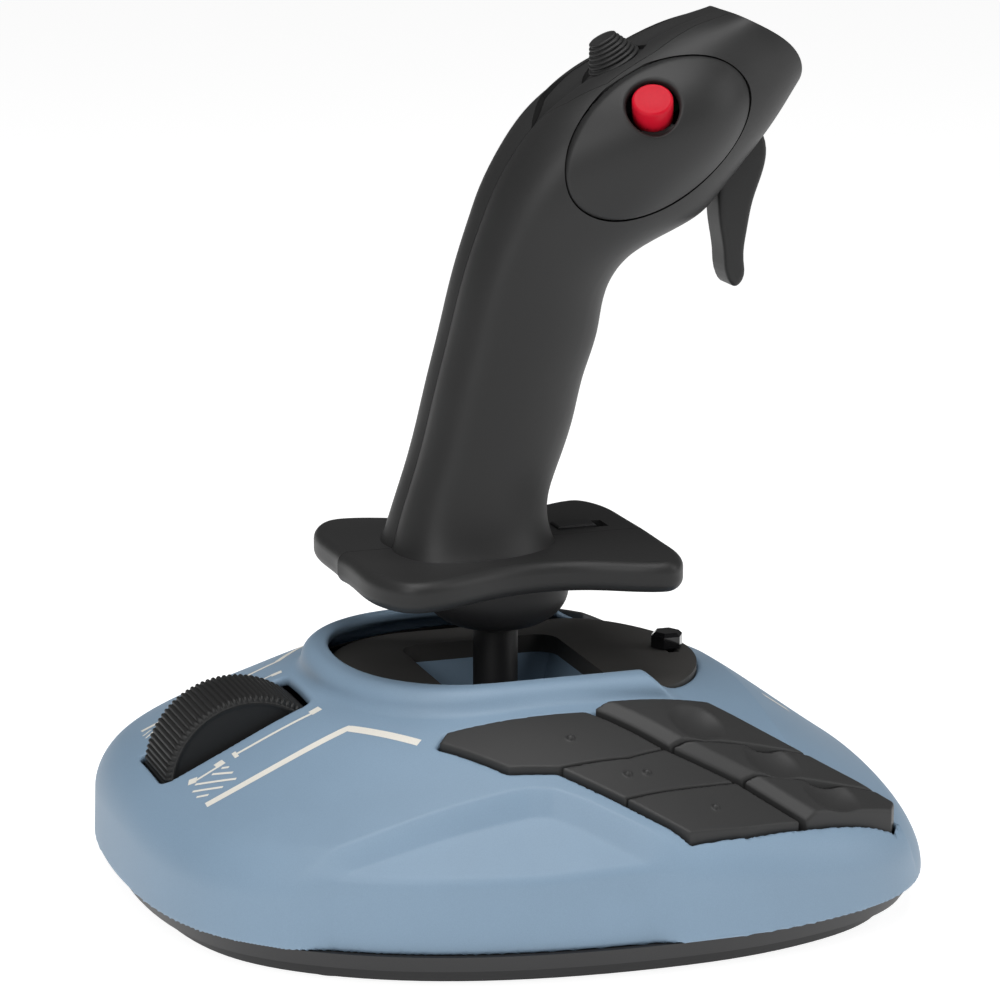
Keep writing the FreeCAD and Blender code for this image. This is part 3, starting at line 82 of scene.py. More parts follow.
def moulded(name):
    """A moulded finish: slow shade changes, fine grain in colour and relief, uneven gloss."""
    colour, rough, specular, grain, depth = FINISHES[name]
    made = bpy.data.materials.new(name)
    made.use_nodes = True
    tree = made.node_tree
    link = tree.links.new
    shader = tree.nodes["Principled BSDF"]
    shader.inputs["Metallic"].default_value = 1.0 if name == METAL else 0.0
    shader.inputs["Specular IOR Level"].default_value = specular
    place = tree.nodes.new("ShaderNodeTexCoord")
    cloud = noise_node(tree, place, CLOUD_MM, 3.0)
    speck = noise_node(tree, place, grain, 2.0)
    mean = tree.nodes.new("ShaderNodeMix")
    link(cloud.outputs["Fac"], mean.inputs["A"])
    link(speck.outputs["Fac"], mean.inputs["B"])
    ramp = tree.nodes.new("ShaderNodeValToRGB")
    for stop, share, at in zip(ramp.color_ramp.elements, (-1, 1), RAMP_STOPS):
        stop.position = at
        stop.color = (*[c * (1 + share * SHADE_SWING) for c in colour], 1.0)
    link(mean.outputs["Result"], ramp.inputs["Fac"])
    link(ramp.outputs["Color"], shader.inputs["Base Color"])
    gloss = tree.nodes.new("ShaderNodeMapRange")
    gloss.inputs["To Min"].default_value = rough - ROUGH_SWING
    gloss.inputs["To Max"].default_value = rough + ROUGH_SWING
    link(cloud.outputs["Fac"], gloss.inputs["Value"])
    link(gloss.outputs["Result"], shader.inputs["Roughness"])
    relief = tree.nodes.new("ShaderNodeBump")
    relief.inputs["Distance"].default_value = depth * MM
    link(speck.outputs["Fac"], relief.inputs["Height"])
    link(relief.outputs["Normal"], shader.inputs["Normal"])
    return made


MATERIALS = {name: moulded(name) for name in FINISHES}


def finish_nodes():
    """Give every CAD node the finish of its material slot in the record."""
    for row in frame["record"]["subparts"]:
        mesh = frame["nodes"][row["node"]].data
        mesh.materials.clear()
        mesh.materials.append(MATERIALS[row["material_slot"]])


# ---------------------------------------------------------------- curves

def spline_bends(x, y):
    """Second derivatives of the natural cubic through points."""
    n = len(x)
    h = np.diff(x)
    a = np.eye(n)
    b = np.zeros(n)
    for i in range(1, n - 1):
        a[i, i - 1:i + 2] = h[i - 1], 2 * (h[i - 1] + h[i]), h[i]
        b[i] = 6 * ((y[i + 1] - y[i]) / h[i] - (y[i] - y[i - 1]) / h[i - 1])
    return np.linalg.solve(a, b)


def cubic(x, y, at):
    """Values of the natural cubic through points."""
    x, y = np.asarray(x, float), np.asarray(y, float)
    m = spline_bends(x, y)
    at = np.clip(at, x[0], x[-1])
    i = np.clip(np.searchsorted(x, at) - 1, 0, len(x) - 2)
    h = x[i + 1] - x[i]
    u, v = (x[i + 1] - at) / h, (at - x[i]) / h
    curve = ((u ** 3 - u) * m[i] + (v ** 3 - v) * m[i + 1]) * h * h / 6
    return u * y[i] + v * y[i + 1] + curve


def smooth_line(points, steps):
    """An open smooth curve through points, as steps points for each span."""
    points = np.asarray(points, float)
    run = np.concatenate([[0], np.cumsum(np.linalg.norm(np.diff(points, axis=0), axis=1))])
    at = np.concatenate([np.linspace(a, b, steps, endpoint=False) for a, b in zip(run, run[1:])])
    at = np.append(at, run[-1])
    return np.stack([cubic(run, points[:, k], at) for k in range(points.shape[1])], 1)


# Points repeated past a closed curve's ends, so that it runs on smoothly through its start
RING_WRAP = 4


def smooth_ring(points, steps):
    """A closed smooth curve through points."""
    points = [tuple(p) for p in points]
    line = smooth_line(points[-RING_WRAP:] + points + points[:RING_WRAP + 1], steps)
    return line[RING_WRAP * steps:(RING_WRAP + len(points)) * steps]


def both_sides(right, rear_y, front_y):
    """A whole outline from the points of its right side."""
    left = [(-x, y) for x, y in reversed(right)]
    return [(0, rear_y)] + right + [(0, front_y)] + left


# ---------------------------------------------------------------- the cover's form

OUTLINE = both_sides([
    (26.5, -106), (58, -95.5), (77, -77), (92, -49), (100, -17), (102.5, 16),
    (101.5, 38), (96.8, 60), (84, 85), (58, 101), (27, 106.5),
], -107.5, 107.5)
COVER_Z = 10.0
COVER_WALL = 2.6
DRAFT = 2.0 / 60.0
SHOULDER_R = 8.0
CONE = [(0, 61), (46, 59), (58, 55.6), (75, 48), (90, 40.7), (120, 26.8), (150, 12.8)]

# Raised rim round the hub, from its inner edge outward
RIM_HALF_W = 38.0
RIM_SIDE_Y = -12.0
RIM_END_Y = 33.0
RIM_REAR_Y = -45.0
RIM_POWER = 2.2
RIM_W = 7.5
RIM_Z = 64.0
RIM_ROUND = 4.6
RIM_LIP_R = 1.0
RIM_FOOT_R = 2.5
RIM_SLOPE = 92.0
DECK_NOSE = [(36.5, 37), (24, 49), (0, 56), (-24, 49), (-36.5, 37)]
LEDGE_Z = 55.0
LEDGE_W = 2.5

# Openings for the buttons and the throttle wheel
WINDOW = [
    (54.5, -34), (51.5, -31), (52.3, 8), (47.8, 43), (73, 82), (76.5, 85), (81.5, 82),
    (91, 52), (95, 36), (97.3, 19), (72.5, -7.5), (69.5, -20),
]
WINDOW_GAP = 0.5
SLOT_X = 13.2
SLOT_Y = (-97.0, -55.8)
SLOT_Z = 34.5
SLOT_CORNER_R = 3.0
LIP_R = 0.9

# Recessed side panels and the front hood that falls away between them
SCOOP = [(72, -200), (75.5, -17), (77.5, -10.5), (82.5, -3.5), (132, 50), (200, 50), (200, -200)]
SCOOP_DEPTH = 4.4
SCOOP_X = 76.0
SCOOP_FALL = 0.16
SCOOP_EASE = 0.075
SCOOP_EASE_Y = -20.0
SCOOP_IN = 2.6
SCOOP_EDGE_R = 1.6
SCOOP_BAND = 4.2
HOOD = [
    (-60, 40), (0, 40), (28, 42.5), (37.6, 45.5), (56.5, 61), (74.9, 81.6), (92, 101), (92, 140), (-60, 140),
]
HOOD_DROP = 10.0
HOOD_RUN = (64.0, 108.0)
HOOD_BAND = 5.0

# Distances to the outlines are tabled over the right half of the plan
PLAN_STEP = 0.4
PLAN_X = np.arange(-3.0, 112.0, PLAN_STEP)
PLAN_Y = np.arange(-116.0, 116.0, PLAN_STEP)
CONE_KNOTS = np.linspace(0, CONE[-1][0], 301)
FAR = 400.0
SHOE_STEPS = 48
NOSE_STEPS = 8
OUTLINE_STEPS = 12


def ring_distance(x, y, ring):
    """Distance to a closed outline, below zero inside it."""
    best = np.full(x.shape, FAR * FAR)
    inside = np.zeros(x.shape, bool)
    for (ax, ay), (bx, by) in zip(ring, np.roll(ring, -1, axis=0)):
        ex, ey = bx - ax, by - ay
        t = np.clip(((x - ax) * ex + (y - ay) * ey) / (ex * ex + ey * ey), 0, 1)
        best = np.minimum(best, (x - ax - t * ex) ** 2 + (y - ay - t * ey) ** 2)
        if ey:
            inside ^= ((ay > y) != (by > y)) & (x < ax + (y - ay) * ex / ey)
    return np.where(inside, -1, 1) * np.sqrt(best)


def plan_table(ring):
    """Distances to an outline over the right half of the plan."""
    gx, gy = np.meshgrid(PLAN_X, PLAN_Y, indexing="ij")
    return ring_distance(gx, gy, np.asarray(ring, float))


def look_up(table, x, y):
    """A plan table's values at points, on either side."""
    u = (np.abs(x) - PLAN_X[0]) / PLAN_STEP
    v = (y - PLAN_Y[0]) / PLAN_STEP
    i = np.clip(u.astype(int), 0, len(PLAN_X) - 2)
    j = np.clip(v.astype(int), 0, len(PLAN_Y) - 2)
    s, t = u - i, v - j
    low = table[i, j] * (1 - s) + table[i + 1, j] * s
    high = table[i, j + 1] * (1 - s) + table[i + 1, j + 1] * s
    return low * (1 - t) + high * t


def shoe_rear(steps):
    """The round rear of the rim's inner edge, from its left end to its right end."""
    points = []
    for i in range(steps + 1):
        t = math.pi * i / steps
        across = math.copysign(abs(math.cos(t)) ** (2 / RIM_POWER), -math.cos(t))
        back = abs(math.sin(t)) ** (2 / RIM_POWER)
        depth = RIM_SIDE_Y - RIM_REAR_Y
        points.append((RIM_HALF_W * across, RIM_SIDE_Y - depth * back))
    return points


def opening_ring():
    """The rim's inner edge, with its round rear and its pointed front."""
    nose = [(RIM_HALF_W, RIM_END_Y)] + DECK_NOSE + [(-RIM_HALF_W, RIM_END_Y)]
    return shoe_rear(SHOE_STEPS) + [tuple(p) for p in smooth_line(nose, NOSE_STEPS)]


TABLES = {
    "outline": plan_table(smooth_ring(OUTLINE, OUTLINE_STEPS)),
    "shoe": plan_table(shoe_rear(SHOE_STEPS) + [(RIM_HALF_W, FAR), (-RIM_HALF_W, FAR)]),
    "opening": plan_table(opening_ring()),
    "window": plan_table(WINDOW),
    "scoop": plan_table(SCOOP),
    "hood": plan_table(HOOD),
}


def round_and(a, b, r):
    """The overlap of two solids with its edge rounded."""
    corner = np.sqrt(np.maximum(a + r, 0) ** 2 + np.maximum(b + r, 0) ** 2)
    return np.minimum(np.maximum(a, b), -r) + corner


RAMP_SOFT = 0.15


def round_or(a, b, r):
    """Two solids joined, with a fillet along the joint."""
    return -round_and(-a, -b, r)


def ramp(t):
    """A rise from 0 to 1 whose ends are a little soft."""
    t = np.clip(t, 0, 1)
    return (1 - RAMP_SOFT) * t + RAMP_SOFT * t * t * (3 - 2 * t)


def cone_height(x, y):
    """Height of the cover's top without its rim, and the share of it that is vertical."""
    r = np.hypot(x, y)
    heights = cubic(*zip(*CONE), CONE_KNOTS)
    z = np.interp(r, CONE_KNOTS, heights)
    slope = np.interp(r, CONE_KNOTS, np.gradient(heights, CONE_KNOTS))
    hood = ramp(-look_up(TABLES["hood"], x, y) / HOOD_BAND)
    fall = ramp((y - HOOD_RUN[0]) / (HOOD_RUN[1] - HOOD_RUN[0]))
    return z - HOOD_DROP * hood * fall, 1 / np.hypot(1, slope)


def outer_field(x, y, z):
    """Signed distance to the cover's outer form before its openings are cut."""
    wall = look_up(TABLES["outline"], x, y) + DRAFT * (z - COVER_Z)
    height, upright = cone_height(x, y)
    body = round_and(wall, (z - height) * upright, SHOULDER_R)
    depth = SCOOP_DEPTH + SCOOP_FALL * np.maximum(np.abs(x) - SCOOP_X, 0)
    depth = depth - SCOOP_EASE * np.maximum(y - SCOOP_EASE_Y, 0)
    sunk = round_and(wall + SCOOP_IN, (z - height + depth) * upright, SCOOP_EDGE_R)
    body = body + (sunk - body) * ramp(-look_up(TABLES["scoop"], x, y) / SCOOP_BAND)
    rim = round_and(look_up(TABLES["shoe"], x, y) - RIM_W, z - RIM_Z, RIM_ROUND)
    rim = round_and(rim, (y + z - RIM_SLOPE) / math.sqrt(2), RIM_LIP_R)
    rim = np.maximum(rim, LEDGE_Z - z)
    return round_or(body, rim, RIM_FOOT_R)


def slot_distance(x, y):
    """Distance in plan to the throttle wheel's slot."""
    mid = (SLOT_Y[0] + SLOT_Y[1]) / 2
    u = np.abs(x) - SLOT_X + SLOT_CORNER_R
    v = np.abs(y - mid) - (SLOT_Y[1] - SLOT_Y[0]) / 2 + SLOT_CORNER_R
    outside = np.hypot(np.maximum(u, 0), np.maximum(v, 0))
    return outside + np.minimum(np.maximum(u, v), 0) - SLOT_CORNER_R


def holes_field(x, y, z):
    """Signed distance to the space of all the cover's openings."""
    opening = look_up(TABLES["opening"], x, y)
    deck = np.minimum(np.maximum(opening, LEDGE_Z - z), opening + LEDGE_W)
    window = look_up(TABLES["window"], x, y) - WINDOW_GAP
    slot = np.maximum(slot_distance(x, y), SLOT_Z - z)
    return np.minimum(np.minimum(deck, window), slot)


def cover_field(x, y, z):
    """Signed distance to the hollow cover with all its openings."""
    outer = outer_field(x, y, z)
    shell = np.maximum(outer, -(outer + COVER_WALL))
    cut = round_and(shell, -holes_field(x, y, z), LIP_R)
    return np.maximum(cut, COVER_Z - z)


# ---------------------------------------------------------------- meshing of a form

CORNERS = [(i, j, k) for i in (0, 1) for j in (0, 1) for k in (0, 1)]
CELL_EDGES = [(a, b) for a in range(8) for b in range(a + 1, 8)
              if sum(abs(p - q) for p, q in zip(CORNERS[a], CORNERS[b])) == 1]


def cell_points(values, cells):
    """A point in each crossed cell, at the mean of where its edges cross the surface."""
    ix, iy, iz = cells
    at = [values[ix + i, iy + j, iz + k] for i, j, k in CORNERS]
    total = np.zeros((len(ix), 3))
    count = np.zeros(len(ix))
    for a, b in CELL_EDGES:
        crossed = (at[a] < 0) != (at[b] < 0)
        t = np.where(crossed, at[a] / np.where(crossed, at[a] - at[b], 1), 0)
        pa, pb = np.array(CORNERS[a], float), np.array(CORNERS[b], float)
        total += crossed[:, None] * (pa + t[:, None] * (pb - pa))
        count += crossed
    return np.stack(cells, 1) + total / count[:, None]


def net(field, low, high, step):
    """Quads over the zero surface of a field: points in mm and faces."""
    axes = [np.arange(a, b + step, step) for a, b in zip(low, high)]
    gx, gy = np.meshgrid(axes[0], axes[1], indexing="ij")
    values = np.stack([field(gx, gy, np.full_like(gx, z)) for z in axes[2]], 2)
    inside = values < 0
    some = np.zeros([n - 1 for n in values.shape], bool)
    every = np.ones_like(some)
    nx, ny, nz = some.shape
    for i, j, k in CORNERS:
        corner = inside[i:i + nx, j:j + ny, k:k + nz]
        some |= corner
        every &= corner
    cells = np.nonzero(some & ~every)
    index = np.full(some.shape, -1)
    index[cells] = np.arange(len(cells[0]))
    points = np.array(low) + step * cell_points(values, cells)
    faces = []
    for axis in range(3):
        near = np.moveaxis(inside, axis, 0)
        ids = np.moveaxis(index, axis, 0)
        here = near[:-1, 1:-1, 1:-1]
        there = near[1:, 1:-1, 1:-1]
        for leaving in (True, False):
            at = np.nonzero(here & ~there if leaving else ~here & there)
            a, b, c = at
            ring = [ids[a, b, c], ids[a, b + 1, c], ids[a, b + 1, c + 1], ids[a, b, c + 1]]
            quad = np.stack(ring, 1)
            flip = leaving == (axis == 1)
            faces.append(quad[:, ::-1] if flip else quad)
    return points, np.concatenate(faces)


# Rounds of evening out a net, how far each one goes and the least squared slope it trusts
SETTLE_ROUNDS = 2
SETTLE_PULL = 0.5
LEAST_SLOPE = 0.25


def settle(field, points, faces, step):
    """Even the points out along the surface and put them back on it."""
    a = faces.ravel()
    b = np.roll(faces, -1, axis=1).ravel()
    nudge = step / 4
    for turn in range(SETTLE_ROUNDS + 1):
        x, y, z = points.T
        value = field(x, y, z)
        slope = np.stack([
            field(x + nudge, y, z) - field(x - nudge, y, z),
            field(x, y + nudge, z) - field(x, y - nudge, z),
            field(x, y, z + nudge) - field(x, y, z - nudge),
        ], 1) / (2 * nudge)
        size = np.maximum((slope ** 2).sum(1), LEAST_SLOPE)
        move = np.clip(-value / size, -step, step)
        points = points + slope * move[:, None]
        if turn == SETTLE_ROUNDS:
            break
        total = np.zeros_like(points)
        count = np.bincount(a, minlength=len(points)) + np.bincount(b, minlength=len(points))
        for k in range(3):
            total[:, k] = np.bincount(a, points[b, k], len(points))
            total[:, k] += np.bincount(b, points[a, k], len(points))
        pull = total / count[:, None] - points
        normal = slope / np.sqrt(size)[:, None]
        pull -= normal * (pull * normal).sum(1)[:, None]
        points = points + SETTLE_PULL * pull
    return points


def settled_net(field, low, high, step):
    """A net over a field with its points evened out."""
    points, faces = net(field, low, high, step)
    return settle(field, points, faces, step), faces


def piece(name, points, faces, body, finish, slot, *replaced):
    """A smooth-shaded mesh piece that rides on a body and stands for CAD nodes."""
    mesh = bpy.data.meshes.new(name)
    mesh.from_pydata((np.asarray(points) * MM).tolist(), [], [list(f) for f in faces])
    mesh.validate()
    mesh.polygons.foreach_set("use_smooth", np.ones(len(mesh.polygons), bool))
    mesh.materials.append(MATERIALS[finish])
    made = bpy.data.objects.new(name, mesh)
    bpy.context.scene.collection.objects.link(made)
    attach(made, body)
    if replaced:
        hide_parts(*replaced)
    return made


# Half-sizes of the space that holds the cover, and how much of its inner skin is kept at its openings
GRID_STEP = 0.8
COVER_REACH = (104.4, 109.2)
INNER_BAND = 0.4
INNER_RETURN = 5.0


def make_cover():
    """The blue cover, as one even net of quads with soft lips round its openings."""
    low = (-COVER_REACH[0], -COVER_REACH[1], COVER_Z - GRID_STEP)
    high = (*COVER_REACH, RIM_Z + GRID_STEP)
    points, faces = settled_net(cover_field, low, high, GRID_STEP)
    x, y, z = points.T
    inner = outer_field(x, y, z) < -COVER_WALL + INNER_BAND
    hidden = inner & (holes_field(x, y, z) > INNER_RETURN)
    faces = faces[~hidden[faces].all(axis=1)]
    used = np.unique(faces)
    renumber = np.full(len(points), -1)
    renumber[used] = np.arange(len(used))
    faces = renumber[faces]
    piece("blue_cover", points[used], faces, "base", "blue_shell", "blue_shell", "base_cover")


# ---------------------------------------------------------------- button caps

BUTTON_GAP = 0.25
NEAR_RISE = 1.0
FAR_RISE = 3.0
NEAR_EDGE_R = 0.35
FAR_EDGE_R = 0.7
BEVEL_W = 3.2
BEVEL_DROP = 2.0
BEVEL_R = 0.4
CAP_SKIRT = 3.6
CAP_STEP = 0.42
CAP_MARGIN = 1.0
NEAR_BUTTONS = [
    [(52.6, 7), (67.6, 23), (71, 12), (72.5, -7.5), (69.5, -20), (54.5, -34), (51.5, -31)],
    [(67.6, 23), (78, 39), (80.5, 28.5), (84.8, 6), (72.5, -7.5), (71, 12)],
    [(78, 39), (91, 52), (95, 36), (97.3, 19), (84.8, 6), (80.5, 28.5)],
]
FAR_BUTTONS = [
    [(51.9, 9), (67, 25), (62.5, 66), (47.8, 43)],
    [(67, 25), (77.3, 41), (73, 82), (62.5, 66)],
    [(77.3, 41), (90.3, 54), (81.5, 82), (76.5, 85), (73, 82)],
]
DOTS = [[(63.1, -1)], [(76.8, 9.7), (76.4, 15.1)], [(88.1, 29.4)]]
DOT_R = 1.1
DISHES = [(58.5, 35.5), (69.5, 52.5), (80, 65)]
DISH_R = 7.4
DISH_DEPTH = 1.8
DISH_BALL_R = (DISH_R ** 2 + DISH_DEPTH ** 2) / (2 * DISH_DEPTH)
DISH_EDGE_R = 0.4


def top_height(x, y):
    """Height of the cover's plain top at one place."""
    return float(cone_height(np.array(float(x)), np.array(float(y)))[0])


def dish_centre(dish, rise):
    """Centre of the ball that hollows a finger dish, square above the cap's sloping top."""
    base = top_height(*dish)
    r = math.hypot(*dish)
    slope = base - top_height(dish[0] * (1 + 1 / r), dish[1] * (1 + 1 / r))
    normal = np.array([slope * dish[0] / r, slope * dish[1] / r, 1.0])
    normal /= np.linalg.norm(normal)
    return np.array([*dish, base + rise]) + normal * (DISH_BALL_R - DISH_DEPTH)


def cap_field(outline, rise, edge_r, dots, dish):
    """The field of one keycap, with its tactile dots and its finger dish."""
    ring = np.asarray(outline, float)

    def field(x, y, z):
        height, upright = cone_height(x, y)
        above = (z - height) * upright
        form = round_and(ring_distance(x, y, ring) + BUTTON_GAP, above - rise, edge_r)
        for dx, dy in dots:
            rest = z - top_height(dx, dy) - rise
            ball = np.sqrt((x - dx) ** 2 + (y - dy) ** 2 + rest ** 2) - DOT_R
            form = np.minimum(form, ball)
        if dish:
            run = (ring[1] - ring[0]) / np.linalg.norm(ring[1] - ring[0])
            inward = (y - ring[0, 1]) * run[0] - (x - ring[0, 0]) * run[1]
            steep = BEVEL_DROP / BEVEL_W
            bevel = (above - rise + (BEVEL_W - inward) * steep) / math.hypot(1, steep)
            form = round_and(form, bevel, BEVEL_R)
            cx, cy, cz = dish_centre(dish, rise)
            ball = DISH_BALL_R - np.sqrt((x - cx) ** 2 + (y - cy) ** 2 + (z - cz) ** 2)
            form = round_and(form, ball, DISH_EDGE_R)
        return np.maximum(form, -above - CAP_SKIRT)

    return field


def both_caps(name, field, outline):
    """The right cap and its mirror image on the left, each standing for its own node."""
    xs, ys = zip(*outline)
    lowest = top_height(*max(outline, key=lambda p: math.hypot(*p)))
    highest = top_height(*min(outline, key=lambda p: math.hypot(*p)))
    room = 2 * CAP_MARGIN
    low = (min(xs) - CAP_MARGIN, min(ys) - CAP_MARGIN, lowest - CAP_SKIRT - room)
    high = (max(xs) + CAP_MARGIN, max(ys) + CAP_MARGIN, highest + FAR_RISE + room)
    points, faces = settled_net(field, low, high, CAP_STEP)
    node = "right_" + name
    piece(node + "_cap", points, faces, node, "button_plastic", "button_plastic", node)
    node = "left_" + name
    turned = points * np.array([-1, 1, 1])
    piece(node + "_cap", turned, faces[:, ::-1], node, "button_plastic", "button_plastic", node)


def make_caps():
    """The two clusters: flat near buttons with dots, raised far buttons with dishes."""
    for i, outline in enumerate(NEAR_BUTTONS):
        field = cap_field(outline, NEAR_RISE, NEAR_EDGE_R, DOTS[i], None)
        both_caps("near_button_%d" % (i + 1), field, outline)
    for i, outline in enumerate(FAR_BUTTONS):
        field = cap_field(outline, FAR_RISE, FAR_EDGE_R, [], DISHES[i])
        both_caps("far_button_%d" % (i + 1), field, outline)


# ---------------------------------------------------------------- turned parts

def lathe(profile, steps, ripple=None):
    """A turned form about +Z from (r, z) pairs, listed from its top to its foot."""
    profile = np.asarray(profile, float)
    turn = np.linspace(0, 2 * math.pi, steps, endpoint=False)
    r = np.repeat(profile[:, 0][:, None], steps, 1)
    if ripple is not None:
        r = r - ripple[:, None] * rib_shape(turn)[None, :]
    z = np.repeat(profile[:, 1][:, None], steps, 1)
    points = np.stack([r * np.cos(turn), r * np.sin(turn), z], 2).reshape(-1, 3)
    rows = np.arange(len(profile) - 1)[:, None] * steps
    this = np.arange(steps)[None, :]
    after = (this + 1) % steps
    faces = np.stack([rows + this, rows + steps + this, rows + steps + after, rows + after], 2)
    return points, faces.reshape(-1, 4)


def placed(points, origin, axis):
    """Points drawn about +Z, set at a place with +Z along an axis."""
    turn = np.array(Vector(axis).to_track_quat("Z", "Y").to_matrix())
    return points @ turn.T + np.asarray(origin, float)


def arc(centre, r, start, end, steps):
    """Points on an arc, with angles in degrees from the first axis."""
    turn = np.radians(np.linspace(start, end, steps))
    return [(centre[0] + r * math.cos(t), centre[1] + r * math.sin(t)) for t in turn]


WHEEL_AT = (0.0, -72.0, 34.5)
WHEEL_R = 24.0
WHEEL_HALF_W = 12.0
WHEEL_EDGE_R = 1.8
WHEEL_RIBS = 96
WHEEL_RIB_H = 0.55
WHEEL_FACE_R = 21.4
WHEEL_FACE_DIP = 0.7
WHEEL_HUB_R = 3.1
WHEEL_FACE_SLOPE = 0.8
WHEEL_RIB_START = 0.9
RIB_STEPS = 10


def rib_shape(turn):
    """Depth of the grooves round the wheel, from 0 on a rib to 1 in a groove."""
    wave = 0.5 - 0.5 * np.cos(turn * WHEEL_RIBS)
    return wave ** 2


def make_wheel():
    """The thumb wheel: ribs across the tread, a plain band at each edge and smooth sides."""
    half, edge = WHEEL_HALF_W, WHEEL_EDGE_R
    side = [(WHEEL_HUB_R, half - WHEEL_FACE_DIP), (WHEEL_FACE_R - 1, half - WHEEL_FACE_DIP)]
    side += [(WHEEL_FACE_R, half - WHEEL_FACE_DIP * 0.8), (WHEEL_FACE_R + WHEEL_FACE_SLOPE, half)]
    side += arc((WHEEL_R - edge, half - edge), edge, 90, 0, 7)
    profile = side + [(r, -z) for r, z in reversed(side)]
    radii = np.array([r for r, _ in profile])
    ripple = WHEEL_RIB_H * np.clip(radii - WHEEL_FACE_R - WHEEL_RIB_START, 0, 1)
    points, faces = lathe(profile, WHEEL_RIBS * RIB_STEPS, ripple)
    points = placed(points, WHEEL_AT, (1, 0, 0))
    piece("ribbed_wheel", points, faces, "throttle", "wheel_plastic", "wheel_plastic", "throttle_wheel")


HAT_AT = (0.0, 33.8, 219.9)
HAT_TILT = math.radians(29.0)
HAT_AXIS = (0.0, -math.sin(HAT_TILT), math.cos(HAT_TILT))
HAT_R = (7.4, 4.0)
HAT_CLEAR = 0.6
HAT_H = 7.6
HAT_BRIM = 1.2
HAT_RINGS = 6
HAT_STEM_R = 2.2
HAT_STEM_L = 10.0
HAT_HOLLOW = 0.5
HAT_RING_R = 0.45
HAT_RING_IN = 0.75
HAT_BRIM_R = 0.5
# A turned form closes round this small radius on its axis
AXIS_R = 0.05
TURN_STEPS = 72


def make_hat():
    """The hat: stacked rounded rings that narrow to a slightly hollow top, on a stem."""
    top = HAT_CLEAR + HAT_H
    profile = [(AXIS_R, top - HAT_HOLLOW)]
    profile += [(HAT_R[1] * 0.6, top - HAT_HOLLOW * 0.8), (HAT_R[1] * 0.85, top - HAT_HOLLOW * 0.1)]
    pitch = (HAT_H - HAT_BRIM) / HAT_RINGS
    for i in range(HAT_RINGS):
        share = i / (HAT_RINGS - 1)
        r = HAT_R[1] + (HAT_R[0] - HAT_R[1] - 0.6) * share
        z = top - (i + 0.45) * pitch
        profile += arc((r - HAT_RING_R, z), HAT_RING_R, 80, -80, 5)
        profile.append((r - HAT_RING_IN, z - pitch * 0.5))
    profile += arc((HAT_R[0] - HAT_BRIM_R, HAT_CLEAR + HAT_BRIM_R), HAT_BRIM_R, 80, -80, 6)
    profile += [(HAT_STEM_R, HAT_CLEAR), (HAT_STEM_R, -HAT_STEM_L), (AXIS_R, -HAT_STEM_L)]
    points, faces = lathe(profile, TURN_STEPS)
    points = placed(points, HAT_AT, HAT_AXIS)
    piece("ringed_hat", points, faces, "hat", "grip_plastic", "grip_plastic", "hat_cap")


SIDE_TOP = (27.0, 34.0, 214.1)
SIDE_AXIS = Vector((0.62, -0.25, 0.74)).normalized()
SIDE_R = 5.4
SIDE_LEN = 11.0
SIDE_ROUND = 0.9
SIDE_HOLLOW = 0.45
# Radius and share of the hollow's depth across the top
SIDE_DIP = [(AXIS_R, 1.0), (1.8, 0.9), (3.4, 0.45), (4.3, 0.09)]


def make_side_buttons():
    """The red button on the right and the black one on the left, with softly hollow tops."""
    profile = [(r, -SIDE_HOLLOW * share) for r, share in SIDE_DIP]
    profile += arc((SIDE_R - SIDE_ROUND, -SIDE_ROUND), SIDE_ROUND, 85, 0, 7)
    profile += [(SIDE_R, -SIDE_LEN), (AXIS_R, -SIDE_LEN)]
    points, faces = lathe(profile, TURN_STEPS)
    right = placed(points, SIDE_TOP, SIDE_AXIS)
    piece("red_cap", right, faces, "red_button", "red_plastic", "red_plastic", "red_button")
    left = right * np.array([-1, 1, 1])
    piece("black_cap", left, faces[:, ::-1], "black_button", "grip_plastic", "grip_plastic",
          "black_side_button")


# ---------------------------------------------------------------- side modules and sleeve

OVAL_AT = (38.2, 202.6)
OVAL_A = 28.3
OVAL_B = 17.6
OVAL_RISE = math.radians(31.0)
OVAL_PROUD = 4.0
OVAL_SKIN = 3.0
OVAL_EDGE_R = 0.5
OVAL_BULGE = 5.0
OVAL_FORWARD = 0.65
OVAL_SPARE = 0.88
OVAL_X = (12.0, 33.0)
OVAL_STEP = 0.5
RECESS_R = 7.0
RECESS_DEPTH = 4.0
RECESS_EDGE_R = 1.2
# The sheet behind the oval: powers of its terms, and which vertices of the CAD module it follows
SHEET_POWERS = [(i, j) for i in range(5) for j in range(5 - i)]
SHEET_FACING = 0.5
SHEET_CLEAR = 10.0
SHEET_RIM = 1.02
SHEET_DROP = 10.0
SHEET_END = 1.1
RHO_END = 1.3


def oval_place(y, z):
    """Places across the oval, as shares of its half-axes: along it and square to it."""
    dy, dz = y - OVAL_AT[0], z - OVAL_AT[1]
    along = (dy * math.cos(OVAL_RISE) + dz * math.sin(OVAL_RISE)) / OVAL_A
    across = (dz * math.cos(OVAL_RISE) - dy * math.sin(OVAL_RISE)) / OVAL_B
    return along, across


def sheet_terms(along, across):
    """The terms of a smooth sheet over the oval."""
    return [along ** i * across ** j for i, j in SHEET_POWERS]


